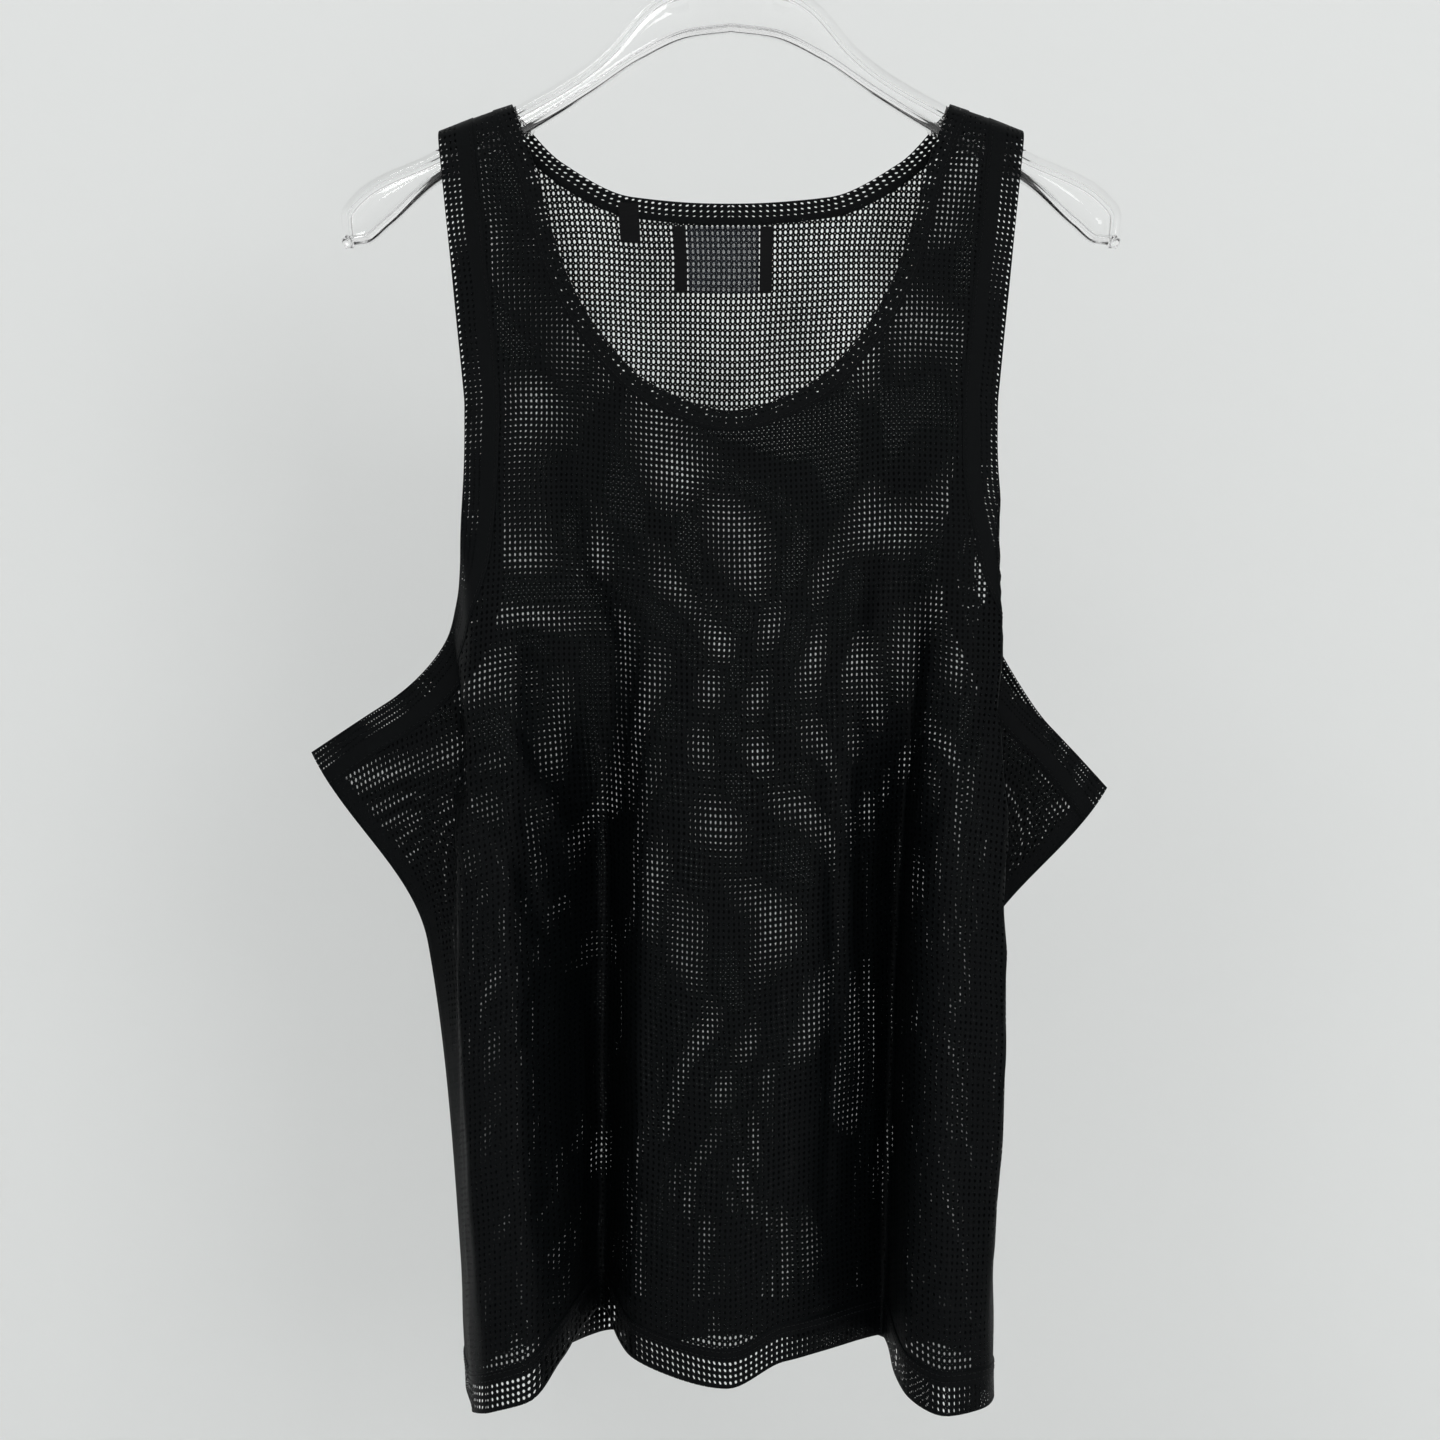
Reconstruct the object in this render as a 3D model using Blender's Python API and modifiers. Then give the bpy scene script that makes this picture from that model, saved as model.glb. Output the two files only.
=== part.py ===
"""Mesh tank top hanging on a clear moulded hanger.

Every piece of cloth is laid out on its flat cut and carried to where it hangs by drape():
    across  distance over the flat cloth from its centre line, minus towards -X
    down    distance down the flat cloth from the inner end of the shoulder seam
The fold tables say where the cloth's fold lines hang at five levels down the body.
Lengths are millimetres. add_sheet() and the hanger's functions turn them into metres.
The origin is where the hook hangs, the front faces -Y and +Z is up.
"""

import math
from typing import NamedTuple

import bmesh
import bpy
import numpy as np

MM = 0.001

# ---- Cloth, as it is cut ----
HALF_CUT = 280.0            # half the width of the flat panel at the underarm and below
CUT_LENGTH = 685.0          # inner end of the shoulder seam down to the hem
HEM_HEIGHT = 21.0
NECK_BINDING = 11.5
ARMHOLE_BINDING = 20.0
SHOULDER_FALL = 9.0         # how much lower the flat shoulder seam ends at the armhole
WALL = 1.0
HEM_WALL = 1.8
SEAM_GAP = 0.7
HEM_GAP = 0.8
SKIN_GAP = 0.3              # between a piece sewn on and the panel that it lies on


class CutPoint(NamedTuple):
    """One point of a cut edge on the flat half panel."""

    across: float
    down: float


FRONT_NECK = (
    CutPoint(107, 0), CutPoint(97, 38), CutPoint(88, 88), CutPoint(73, 124),
    CutPoint(42, 153), CutPoint(0, 164),
)
BACK_NECK = (CutPoint(107, 0), CutPoint(84, 28), CutPoint(50, 47), CutPoint(0, 50))
ARMHOLE = (
    CutPoint(150, 9), CutPoint(150, 90), CutPoint(150, 170), CutPoint(157, 250),
    CutPoint(182, 288), CutPoint(230, 307), CutPoint(280, 310),
)

# ---- Cloth, as it hangs ----
SHOULDER_TOP = -158.0       # height of the shoulder seam's inner end
STRAP_LEAN = 18.0           # how far the shoulder has swung out from its cut line
STRAP_LEAN_END = 165.0      # distance down at which that lean has run out
SHOULDER_SLOPE = 0.158      # extra fall of the cloth for each millimetre out along the seam
SHOULDER_SLOPE_START = 106.0
STRAP_SPREAD = 16.0         # how far the strap stands off the middle plane just below the seam
RIDGE_REACH = 4.0           # the strap spreads over the arm within about this distance
SEAM_HALF_GAP = (WALL + SKIN_GAP) / 2
SEAM_REACH = 30.0           # front and back close in on each other within this distance of a side seam

LEVELS = (0.0, 165.0, 250.0, 310.0, 430.0, 685.0)   # shoulder, yoke, underarm, pit, waist, hem


class Fold(NamedTuple):
    """One fold line: x, y and extra fall at each level below the shoulder."""

    yoke: tuple
    underarm: tuple
    pit: tuple
    waist: tuple
    hem: tuple


SEAM_LEFT = Fold((-274, 0, 36), (-262, 0, 50), (-237, 0, 56), (-171, 0, 44), (-146, 0, 50))
SEAM_RIGHT = Fold((274, 0, 36), (244, 0, 66), (212.5, 0, 76), (139, 10, 60), (138, 8, 43))
FRONT_FOLDS = {
    "seam_left": SEAM_LEFT,
    "wing_left": Fold((-212, -4, 20), (-205, -4, 28), (-195, -3, 32), (-163, -6, 40), (-144, -16, 48)),
    "foot_left": Fold((-165, -12, 9), (-156, -10, 9), (-154, -7, 14), (-152, -16, 36), (-142, -34, 44)),
    "crest_left": Fold((-148, -16, 5), (-146, -20, 6), (-142, -36, 9), (-150, -42, 30), (-130, -52, 39)),
    "lobe_left": Fold((-130, -17, 3), (-128, -24, 3), (-121, -42, 4), (-124, -48, 20), (-109, -55, 32)),
    "dip_left": Fold((-116, -18, 1), (-115, -24, 2), (-108, -33, 1), (-106, -30, 10), (-94, -34, 15)),
    "valley_left": Fold((-95, -19, 1), (-92, -22, 0), (-70, -18, 0), (-72, 12, 3), (-74, 22, 0)),
    "belly_left": Fold((-50, -23, 8), (-47, -30, 8), (-42, -38, 6), (-45, -38, 16), (-55, -22, 17)),
    "mid": Fold((0, -24, 12), (0, -34, 11), (-2, -40, 10), (-2, -42, 22), (-2, -38, 30)),
    "belly_right": Fold((48, -23, 8), (44, -30, 8), (38, -38, 8), (38, -42, 18), (29, -30, 17)),
    "valley_right": Fold((98, -19, 1), (98, -21, 2), (102, -20, 2), (95, 8, 8), (86, 16, 14)),
    "rim_right": Fold((118, -18, 2), (118, -24, 3), (110, -34, 2), (104, -30, 8), (95, -40, 32)),
    "lobe_right": Fold((134, -17, 3), (133, -26, 4), (122, -40, 4), (120, -44, 14), (116, -56, 40)),
    "crest_right": Fold((149, -16, 5), (149, -25, 6), (150, -34, 6), (150, -38, 22), (139, -44, 38)),
    "foot_right": Fold((166, -12, 9), (144, -9, 12), (138, -10, 13), (146, -8, 34), (145, -24, 37)),
    "wing_right": Fold((212, -4, 20), (190, -4, 40), (178, -3, 43), (139, 4, 46), (143, -6, 40)),
    "seam_right": SEAM_RIGHT,
}
BACK_FOLDS = {
    "seam_left": SEAM_LEFT,
    "wing_left": Fold((-212, 4, 20), (-205, 5, 28), (-195, 4, 32), (-162, 24, 36), (-152, 24, 44)),
    "side_left": Fold((-148, 12, 5), (-148, 14, 8), (-158, 14, 18), (-144, 54, 24), (-128, 64, 34)),
    "groove_left": Fold((-118, 16, 1), (-112, 22, 3), (-118, 24, 8), (-106, 22, 16), (-100, 22, 22)),
    "fold_left": Fold((-80, 18, 2), (-76, 30, 3), (-75, 44, 3), (-78, 68, 12), (-70, 66, 24)),
    "inner_left": Fold((-40, 20, 6), (-40, 21, 8), (-40, 24, 6), (-40, 28, 14), (-38, 34, 22)),
    "mid": Fold((0, 21, 8), (0, 30, 12), (0, 46, 10), (2, 60, 20), (0, 62, 26)),
    "inner_right": Fold((40, 20, 6), (40, 20, 8), (40, 24, 6), (42, 30, 14), (40, 32, 20)),
    "fold_right": Fold((80, 18, 2), (76, 34, 3), (75, 46, 3), (80, 66, 10), (72, 64, 22)),
    "groove_right": Fold((118, 16, 1), (112, 9, 4), (116, 20, 8), (106, 20, 14), (98, 22, 20)),
    "side_right": Fold((150, 12, 5), (138, 15, 8), (148, 14, 18), (134, 54, 28), (126, 60, 32)),
    "wing_right": Fold((212, 4, 20), (190, 5, 40), (180, 4, 44), (150, 32, 46), (150, 30, 40)),
    "seam_right": SEAM_RIGHT,
}

# ---- Mesh of the cloth ----
LATTICE = 4.0               # spacing at which the hanging surface is worked out
SECTION_POINTS = 400        # points along one level's section while its length is measured
EDGE_POINTS = 300           # points along a cut edge
CORNER_SEARCH = 600         # points at which the grid's corners are looked for along an edge
NECK_CORNER = 84.0          # half width at which the strap's grid meets the neck's
ARMHOLE_CORNER = 245.0      # distance down at which the strap's grid meets the wing's
NECK_COLUMNS = 6            # columns below the neckline, on each half
STRAP_COLUMNS = 4
WING_COLUMNS = 9            # columns below the armhole, on each side
BODY_ROWS = 18
STRAP_ROWS = 13
ROW_GROWTH = 1.7            # rows widen down the strap from its bend over the shoulder
BINDING_COLUMNS = 2
END_BLEND = 14.0            # length over which a binding's cross line turns to a seam's line
TRIM_GRID = 4               # columns and rows of the label, its strips and the size tab
WELD = 0.03                 # sheets that are sewn together meet within this distance

# ---- Neck label and size tab: across and down, from and to ----
LABEL = ((-22.5, 62.5), (14.5, 99.0))
LABEL_STRIP_LEFT = ((-29.5, 62.5), (-23.0, 99.0))
LABEL_STRIP_RIGHT = ((15.0, 62.5), (21.5, 99.0))
SIZE_TAB = ((-57.0, 50.5), (-46.5, 72.5))

# ---- Hanger ----
HANGER_THICKNESS = 12.5
HANGER_EDGE = 5.0           # rounding of the rim
RIM_WIDTH = 5.0
WEB_THICKNESS = 4.5
RECESS_TOP = -92.0          # the recess ends below the neck
OUTLINE_POINTS = 84
HANGER_OUTLINE = (          # right half, from the neck's top over the arm and back: x, z
    (0, -64), (9, -66), (13, -75), (28, -87), (49.7, -101.8), (71.2, -126.1), (85.9, -138.6),
    (125, -161.4), (168.4, -185.4), (210.2, -206.4), (220.9, -222), (218, -239), (206, -238),
    (192.1, -227.8), (165, -203.5), (111.9, -174.1), (76.8, -152.1), (48, -132.9),
    (22.6, -121.6), (0, -118.8),
)
HOOK_WIRE = 2.0             # radius of the wire
HOOK_INNER = 20.0           # inner radius of the hook's bow
HOOK_STEM_FOOT = -80.0
HOOK_STEM_TOP = -54.0
HOOK_START = -52.0          # degrees round the bow, from +X
HOOK_END = 205.0
HOOK_STRAIGHT = 8.0         # straight end of the stem before it swings
HOOK_SWING = (5.0, -46.5)   # where the wire runs on its way from the stem to the bow: x, z
HOOK_BOW_POINTS = 26
HOOK_POINTS = 56
SOCKET_SIDES = 20
CAP_WELD = 0.01
SOCKET_RADIUS = 2.3
SOCKET_DEPTH = 16.3


class Look(NamedTuple):
    """Colour, roughness, metallic value and opacity of a material."""

    colour: tuple
    roughness: float
    metallic: float = 0.0
    alpha: float = 1.0


MESH_BLACK = Look((0.004, 0.005, 0.007), 0.75)
TAPE_BLACK = Look((0.003, 0.003, 0.004), 0.6)
SHEER_BLACK = Look((0.012, 0.013, 0.016), 0.5)
CLEAR_PLASTIC = Look((0.86, 0.89, 0.9), 0.12, alpha=0.35)
STEEL = Look((0.62, 0.63, 0.64), 0.25, metallic=1.0)


def smooth_through(knots, values, at):
    """Read a smooth curve through the values at the knots, which never swings past them."""
    knots, values, at = (np.asarray(item, float) for item in (knots, values, at))
    width = np.diff(knots).reshape(-1, *[1] * (values.ndim - 1))
    rise = np.diff(values, axis=0) / width
    before, after = rise[:-1], rise[1:]
    same_way = before * after > 0
    weights = (2 * width[1:] + width[:-1], width[1:] + 2 * width[:-1])
    spread = weights[0] / np.where(same_way, before, 1) + weights[1] / np.where(same_way, after, 1)
    inner = np.where(same_way, (weights[0] + weights[1]) / np.where(same_way, spread, 1), 0)
    slopes = np.concatenate([rise[:1], inner, rise[-1:]])
    span = np.clip(np.searchsorted(knots, at, side="right") - 1, 0, len(knots) - 2)
    step = width[span]
    t = (at - knots[span]).reshape(step.shape) / step
    bend = slopes[span] * step * (t - 2 * t**2 + t**3) + slopes[span + 1] * step * (t**3 - t**2)
    return values[span] + (values[span + 1] - values[span]) * (3 * t**2 - 2 * t**3) + bend


def running_length(points):
    """Length along a line of points, from its first."""
    steps = np.linalg.norm(np.diff(points, axis=0), axis=1)
    return np.concatenate([[0.0], np.cumsum(steps)])


def shoulder_line(across):
    """Distance down of the shoulder seam on the flat cloth."""
    inner, outer = FRONT_NECK[0].across, ARMHOLE[0].across
    return SHOULDER_FALL * np.clip((np.abs(across) - inner) / (outer - inner), 0, 1)


class HangingPanel:
    """A front or back surface, as it hangs: flat points in, places out."""

    def __init__(self, folds, side):
        """Work out the lattice. side is -1 for the front and 1 for the back."""
        self.side = side
        table = np.array([list(fold) for fold in folds.values()], float).transpose(1, 0, 2)
        shoulder = table[0].copy()
        shoulder[:, 1] = side * STRAP_SPREAD
        shoulder[:, 2] = SHOULDER_SLOPE * np.maximum(np.abs(shoulder[:, 0]) - SHOULDER_SLOPE_START, 0)
        table = np.concatenate([shoulder[None], table])
        depths = np.arange(0.0, CUT_LENGTH + LATTICE, LATTICE)
        middle = list(folds).index("mid")
        sections = smooth_through(LEVELS, table, np.minimum(depths, CUT_LENGTH))
        self.lattice = np.array([self.resampled(section, middle) for section in sections])

    @staticmethod
    def resampled(section, middle):
        """Points every LATTICE across the flat cloth, from one level's fold points."""
        knots = running_length(section)
        steps = np.linspace(0, knots[-1], SECTION_POINTS)
        line = smooth_through(knots, section, steps)
        length = running_length(line)
        centre = np.interp(knots[middle], steps, length)
        across = np.where(length < centre, (length - centre) / centre,
                          (length - centre) / (length[-1] - centre)) * HALF_CUT
        wanted = np.arange(-HALF_CUT, HALF_CUT + LATTICE / 2, LATTICE)
        return np.stack([np.interp(wanted, across, line[:, axis]) for axis in range(3)], axis=1)

    def sampled(self, across, down):
        """x, y and extra fall read from the lattice."""
        column = np.clip((across + HALF_CUT) / LATTICE, 0, self.lattice.shape[1] - 1.001)
        row = np.clip(down / LATTICE, 0, self.lattice.shape[0] - 1.001)
        left, top = column.astype(int), row.astype(int)
        right_share, low_share = (column - left)[:, None], (row - top)[:, None]
        upper = self.lattice[top, left] * (1 - right_share) + self.lattice[top, left + 1] * right_share
        lower = (self.lattice[top + 1, left] * (1 - right_share)
                 + self.lattice[top + 1, left + 1] * right_share)
        return upper * (1 - low_share) + lower * low_share

    def drape(self, across, down):
        """Places of flat points on the hanging cloth."""
        across, down = np.asarray(across, float), np.asarray(down, float)
        x, y, fall = self.sampled(across, down).T
        lean = STRAP_LEAN * np.clip(1 - down / STRAP_LEAN_END, 0, 1)
        x = x + lean * np.clip(across / NECK_CORNER, -1, 1)
        over_ridge = np.exp(-np.maximum(down - shoulder_line(across), 0) / RIDGE_REACH)
        y = y * (1 - over_ridge) + self.side * SEAM_HALF_GAP * np.maximum(over_ridge, self.seam_share(across))
        return np.stack([x, y, SHOULDER_TOP - down - fall], axis=1)

    @staticmethod
    def seam_share(across):
        """One at the side seams, fading out within a few centimetres of them."""
        return np.clip(1 - (HALF_CUT - np.abs(across)) / SEAM_REACH, 0, 1)

    def lifted(self, across, down, height):
        """Places moved off the cloth, to its inner face when height is positive."""
        step = 1.0
        along = self.drape(across + step, down) - self.drape(across - step, down)
        below = self.drape(across, down + step) - self.drape(across, down - step)
        normal = np.cross(below, along) * self.side
        return self.drape(across, down) + height * normal / np.linalg.norm(normal, axis=1)[:, None]


class CutEdge:
    """A cut edge on the flat cloth, with the direction that leads over the cloth from it."""

    def __init__(self, rows, start_inward, end_inward, end_row=-1):
        """rows are cut points in order; the inward directions apply at the start and the end row."""
        rows = np.array(rows, float)
        knots = running_length(rows)
        self.length = np.linspace(0, knots[end_row], EDGE_POINTS)
        self.points = smooth_through(knots, rows, self.length)
        along = np.gradient(self.points, axis=0)
        inward = np.stack([-along[:, 1], along[:, 0]], axis=1)
        inward /= np.linalg.norm(inward, axis=1)[:, None]
        if inward[0] @ np.array(start_inward) < 0:
            inward = -inward
        for end, direction in ((0, start_inward), (knots[end_row], end_inward)):
            share = np.clip(1 - np.abs(self.length - end) / END_BLEND, 0, 1)[:, None]
            inward = inward * (1 - share) + np.array(direction) * share
        self.inward = inward

    def at(self, share, width):
        """Flat points at shares of the edge's length, moved in over the cloth."""
        wanted = np.asarray(share) * self.length[-1]
        point = [np.interp(wanted, self.length, self.points[:, k]) for k in range(2)]
        inward = [np.interp(wanted, self.length, self.inward[:, k]) for k in range(2)]
        return np.stack(point, axis=1) + np.stack(inward, axis=1) * np.reshape(width, (-1, 1))


def neck_edge(rows):
    """Half neckline from the shoulder to the centre, which it crosses level."""
    past_centre = CutPoint(-rows[-2].across, rows[-2].down)
    fall = SHOULDER_FALL / (ARMHOLE[0].across - rows[0].across)
    return CutEdge([*rows, past_centre], (1, fall), (0, 1), end_row=-2)


def armhole_edge():
    """Armhole from the shoulder down to the side seam."""
    return CutEdge(ARMHOLE, (-1, -SHOULDER_FALL / (ARMHOLE[0].across - FRONT_NECK[0].across)), (0, 1))


def add_sheet(mesh, columns, rows, place):
    """Add a grid whose points, given as shares across and down, are placed by a function."""
    verts = bmesh.ops.create_grid(mesh, x_segments=columns, y_segments=rows, size=1.0)["verts"]
    share = np.array([vert.co[:2] for vert in verts]) / 2 + 0.5
    for vert, point in zip(verts, place(share[:, 0], share[:, 1])):
        vert.co = point * MM


def make_material(name, look):
    """Principled material with the piece's colour, roughness, metallic value and opacity."""
    material = bpy.data.materials.new(name)
    material.use_nodes = True
    shader = material.node_tree.nodes["Principled BSDF"]
    shader.inputs["Base Color"].default_value = (*look.colour, 1.0)
    shader.inputs["Roughness"].default_value = look.roughness
    shader.inputs["Metallic"].default_value = look.metallic
    shader.inputs["Alpha"].default_value = look.alpha
    return material


def finish_object(name, mesh, look, collection):
    """Put a mesh into the scene as a named node with its own material."""
    node = bpy.data.objects.new(name, mesh)
    mesh.materials.append(make_material(name, look))
    collection.objects.link(node)
    return node


def cloth_node(name, sheets, look, collection, wall=WALL):
    """Wall of cloth round a surface sewn from sheets that share their edges."""
    surface = bmesh.new()
    for columns, rows, place in sheets:
        add_sheet(surface, columns, rows, place)
    bmesh.ops.remove_doubles(surface, verts=surface.verts, dist=WELD * MM)
    bmesh.ops.recalc_face_normals(surface, faces=surface.faces)
    mesh = bpy.data.meshes.new(name)
    surface.to_mesh(mesh)
    surface.free()
    node = finish_object(name, mesh, look, collection)
    solidify = node.modifiers.new("Wall", "SOLIDIFY")
    solidify.thickness = wall * MM
    solidify.offset = 0.0
    return node


class PanelCut:
    """Grid lines of a panel and its bindings, which share their stations along the edges."""

    def __init__(self, hanging, neck_rows):
        """Find the stations along the neckline and the armhole, shoulder first."""
        self.hanging = hanging
        self.neck, self.armhole = neck_edge(neck_rows), armhole_edge()
        shares = np.linspace(0, 1, CORNER_SEARCH)
        neck = self.neck.at(shares, NECK_BINDING + SEAM_GAP)
        armhole = self.armhole.at(shares, ARMHOLE_BINDING + SEAM_GAP)
        neck_corner = np.interp(-NECK_CORNER, -neck[:, 0], shares)
        armhole_corner = np.interp(ARMHOLE_CORNER, armhole[:, 1], shares)
        self.neck_stations = stations(neck_corner, NECK_COLUMNS)
        self.armhole_stations = stations(armhole_corner, WING_COLUMNS)
        self.neck_line = self.neck.at(self.neck_stations, NECK_BINDING + SEAM_GAP)
        self.armhole_line = self.armhole.at(self.armhole_stations, ARMHOLE_BINDING + SEAM_GAP)
        corners = self.neck_line[STRAP_ROWS], self.armhole_line[STRAP_ROWS]
        strap = read_line(np.array(corners), np.linspace(0, 1, STRAP_COLUMNS + 1))
        half = np.concatenate([self.neck_line[:STRAP_ROWS:-1], strap, self.armhole_line[STRAP_ROWS + 1:]])
        self.columns = np.concatenate([half[:0:-1] * (-1, 1), half])

    def column(self, share):
        """Where a share of the columns starts: distances across and down."""
        wanted = share * (len(self.columns) - 1)
        places = np.arange(len(self.columns))
        return [np.interp(wanted, places, self.columns[:, k]) for k in range(2)]

    def body(self, share_across, share_down):
        """Body of the panel, from the neck and armholes to the hem band."""
        across, top = self.column(share_across)
        bottom = CUT_LENGTH - HEM_HEIGHT - HEM_GAP
        return self.hanging.drape(across, top + (bottom - top) * share_down)

    def strap(self, sign):
        """Strap between the two bindings, down from the shoulder seam."""
        def place(share_across, share_down):
            row = np.rint(share_down * STRAP_ROWS).astype(int)
            inner, outer = self.neck_line[row], self.armhole_line[row]
            flat = inner + (outer - inner) * share_across[:, None]
            return self.hanging.drape(sign * flat[:, 0], flat[:, 1])
        return place

    def panel_sheets(self):
        """Sheets that are sewn into the panel."""
        body = (len(self.columns) - 1, BODY_ROWS, self.body)
        return [body] + [(STRAP_COLUMNS, STRAP_ROWS, self.strap(sign)) for sign in (-1, 1)]

    def hem(self, share_across, share_down):
        """Turned-up band along the bottom edge."""
        across, _ = self.column(share_across)
        return self.hanging.drape(across, CUT_LENGTH - HEM_HEIGHT * (1 - share_down))

    def binding(self, edge, edge_stations, width, sign):
        """Folded strip along an edge, from the shoulder seam to its other end."""
        def place(share_across, share_along):
            row = np.rint(share_along * (len(edge_stations) - 1)).astype(int)
            flat = edge.at(edge_stations[row], width * share_across)
            return self.hanging.drape(sign * flat[:, 0], flat[:, 1])
        return (BINDING_COLUMNS, len(edge_stations) - 1, place)


def stations(corner, columns):
    """Shares of an edge's length: along the strap to the grid's corner, and on to the end."""
    strap = corner * np.linspace(0, 1, STRAP_ROWS + 1) ** ROW_GROWTH
    return np.concatenate([strap, np.linspace(corner, 1, columns + 1)[1:]])


def read_line(line, share):
    """Points at shares of a line's length."""
    length = running_length(line)
    wanted = np.asarray(share) * length[-1]
    return np.stack([np.interp(wanted, length, line[:, k]) for k in range(2)], axis=1)


def over_shoulder(edge, panels, width, sign):
    """Narrow strip over the shoulder seam that joins a binding's front and back."""
    def place(share_across, share_over):
        flat = edge.at(np.zeros(len(share_across)), width * share_across)
        front, back = (hanging.drape(sign * flat[:, 0], flat[:, 1]) for hanging in panels)
        return front + (back - front) * share_over[:, None]
    return (BINDING_COLUMNS, 1, place)


def make_cloth(collection):
    """All the cut and sewn pieces."""
    panels = (HangingPanel(FRONT_FOLDS, -1), HangingPanel(BACK_FOLDS, 1))
    cuts = [PanelCut(hanging, neck) for hanging, neck in zip(panels, (FRONT_NECK, BACK_NECK))]
    for name, cut in zip(("front", "back"), cuts):
        cloth_node(f"{name}_panel", cut.panel_sheets(), MESH_BLACK, collection)
        hem = [(len(cut.columns) - 1, 1, cut.hem)]
        cloth_node(f"hem_{name}", hem, MESH_BLACK, collection, HEM_WALL)

    neck_sheets = []
    for side, sign in (("left", -1), ("right", 1)):
        neck_sheets += [cut.binding(cut.neck, cut.neck_stations, NECK_BINDING, sign) for cut in cuts]
        neck_sheets.append(over_shoulder(cuts[0].neck, panels, NECK_BINDING, sign))
        sheets = [cut.binding(cut.armhole, cut.armhole_stations, ARMHOLE_BINDING, sign) for cut in cuts]
        sheets.append(over_shoulder(cuts[0].armhole, panels, ARMHOLE_BINDING, sign))
        cloth_node(f"armhole_binding_{side}", sheets, MESH_BLACK, collection)
    cloth_node("neck_binding", neck_sheets, MESH_BLACK, collection)

    trims = {
        "neck_label": (LABEL, SHEER_BLACK),
        "label_strip_left": (LABEL_STRIP_LEFT, TAPE_BLACK),
        "label_strip_right": (LABEL_STRIP_RIGHT, TAPE_BLACK),
        "size_tab": (SIZE_TAB, TAPE_BLACK),
    }
    for name, (corners, look) in trims.items():
        sheet = (TRIM_GRID, TRIM_GRID, trim_place(panels[1], corners))
        cloth_node(name, [sheet], look, collection)


def trim_place(hanging, corners):
    """Rectangle sewn on the inner face of a panel, made from the panel's own points."""
    (left, top), (right, bottom) = corners

    def place(share_across, share_down):
        across = left + (right - left) * share_across
        down = top + (bottom - top) * share_down
        return hanging.lifted(across, down, WALL + SKIN_GAP)
    return place


def hanger_line(inset):
    """Closed outline of the hanger, moved inwards."""
    right = np.array(HANGER_OUTLINE, float)
    knots = running_length(right)
    right = smooth_through(knots, right, np.linspace(0, knots[-1], OUTLINE_POINTS // 2))
    left = right[-2:0:-1] * (-1, 1)
    line = np.concatenate([right, left])
    along = np.roll(line, -1, axis=0) - np.roll(line, 1, axis=0)
    inward = np.stack([along[:, 1], -along[:, 0]], axis=1)
    return line + inset * inward / np.linalg.norm(inward, axis=1)[:, None]


def plate(name, line, half_thickness, rounding, collection):
    """Flat outline in the X-Z plane with thickness and rounded edges, as a mesh object."""
    curve = bpy.data.curves.new(name, "CURVE")
    curve.dimensions = "2D"
    curve.fill_mode = "BOTH"
    curve.extrude = (half_thickness - rounding) * MM
    curve.bevel_depth = rounding * MM
    curve.bevel_resolution = 2
    spline = curve.splines.new("POLY")
    spline.points.add(len(line) - 1)
    for point, (x, z) in zip(spline.points, line):
        point.co = (x * MM, z * MM, 0.0, 1.0)
    spline.use_cyclic_u = True
    outline = bpy.data.objects.new(name, curve)
    outline.rotation_euler.x = math.radians(90)
    collection.objects.link(outline)
    return solid_from(outline, name, collection)


def solid_from(source, name, collection):
    """Mesh object made of a curve object, with its caps welded on."""
    bpy.context.view_layer.update()
    evaluated = source.evaluated_get(bpy.context.evaluated_depsgraph_get())
    mesh = bpy.data.meshes.new_from_object(evaluated)
    solid = bmesh.new()
    solid.from_mesh(mesh)
    bmesh.ops.remove_doubles(solid, verts=solid.verts, dist=CAP_WELD * MM)
    bmesh.ops.recalc_face_normals(solid, faces=solid.faces)
    solid.to_mesh(mesh)
    solid.free()
    matrix = source.matrix_world.copy()
    bpy.data.objects.remove(source)
    node = bpy.data.objects.new(name, mesh)
    node.matrix_world = matrix
    collection.objects.link(node)
    return node


def cut_away(node, cutter):
    """Subtract a cutter, which stays hidden beside the part."""
    cutter.hide_render = True
    cutter.display_type = "WIRE"
    boolean = node.modifiers.new(cutter.name, "BOOLEAN")
    boolean.operation = "DIFFERENCE"
    boolean.object = cutter
    return node


def make_hanger(collection, cutters):
    """Clear moulded hanger body: a thick plate with a recess on each face and a hook socket."""
    body = plate("hanger_body", hanger_line(HANGER_EDGE), HANGER_THICKNESS / 2, HANGER_EDGE, collection)
    body.data.materials.append(make_material("hanger_body", CLEAR_PLASTIC))
    recess_line = hanger_line(RIM_WIDTH)
    recess_line = recess_line[recess_line[:, 1] < RECESS_TOP]
    depth = HANGER_THICKNESS / 2
    for name, side in (("recess_front", -1), ("recess_back", 1)):
        cutter = plate(name, recess_line, depth / 2, 0.0, cutters)
        cutter.location.y = side * (WEB_THICKNESS / 2 + depth / 2) * MM
        cut_away(body, cutter)
    bpy.ops.mesh.primitive_cylinder_add(
        vertices=SOCKET_SIDES, radius=SOCKET_RADIUS * MM, depth=2 * SOCKET_DEPTH * MM,
        location=(0, 0, HANGER_OUTLINE[0][1] * MM))
    socket = bpy.context.object
    socket.name = "hook_socket"
    for owner in socket.users_collection:
        owner.objects.unlink(socket)
    cutters.objects.link(socket)
    return cut_away(body, socket)


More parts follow.
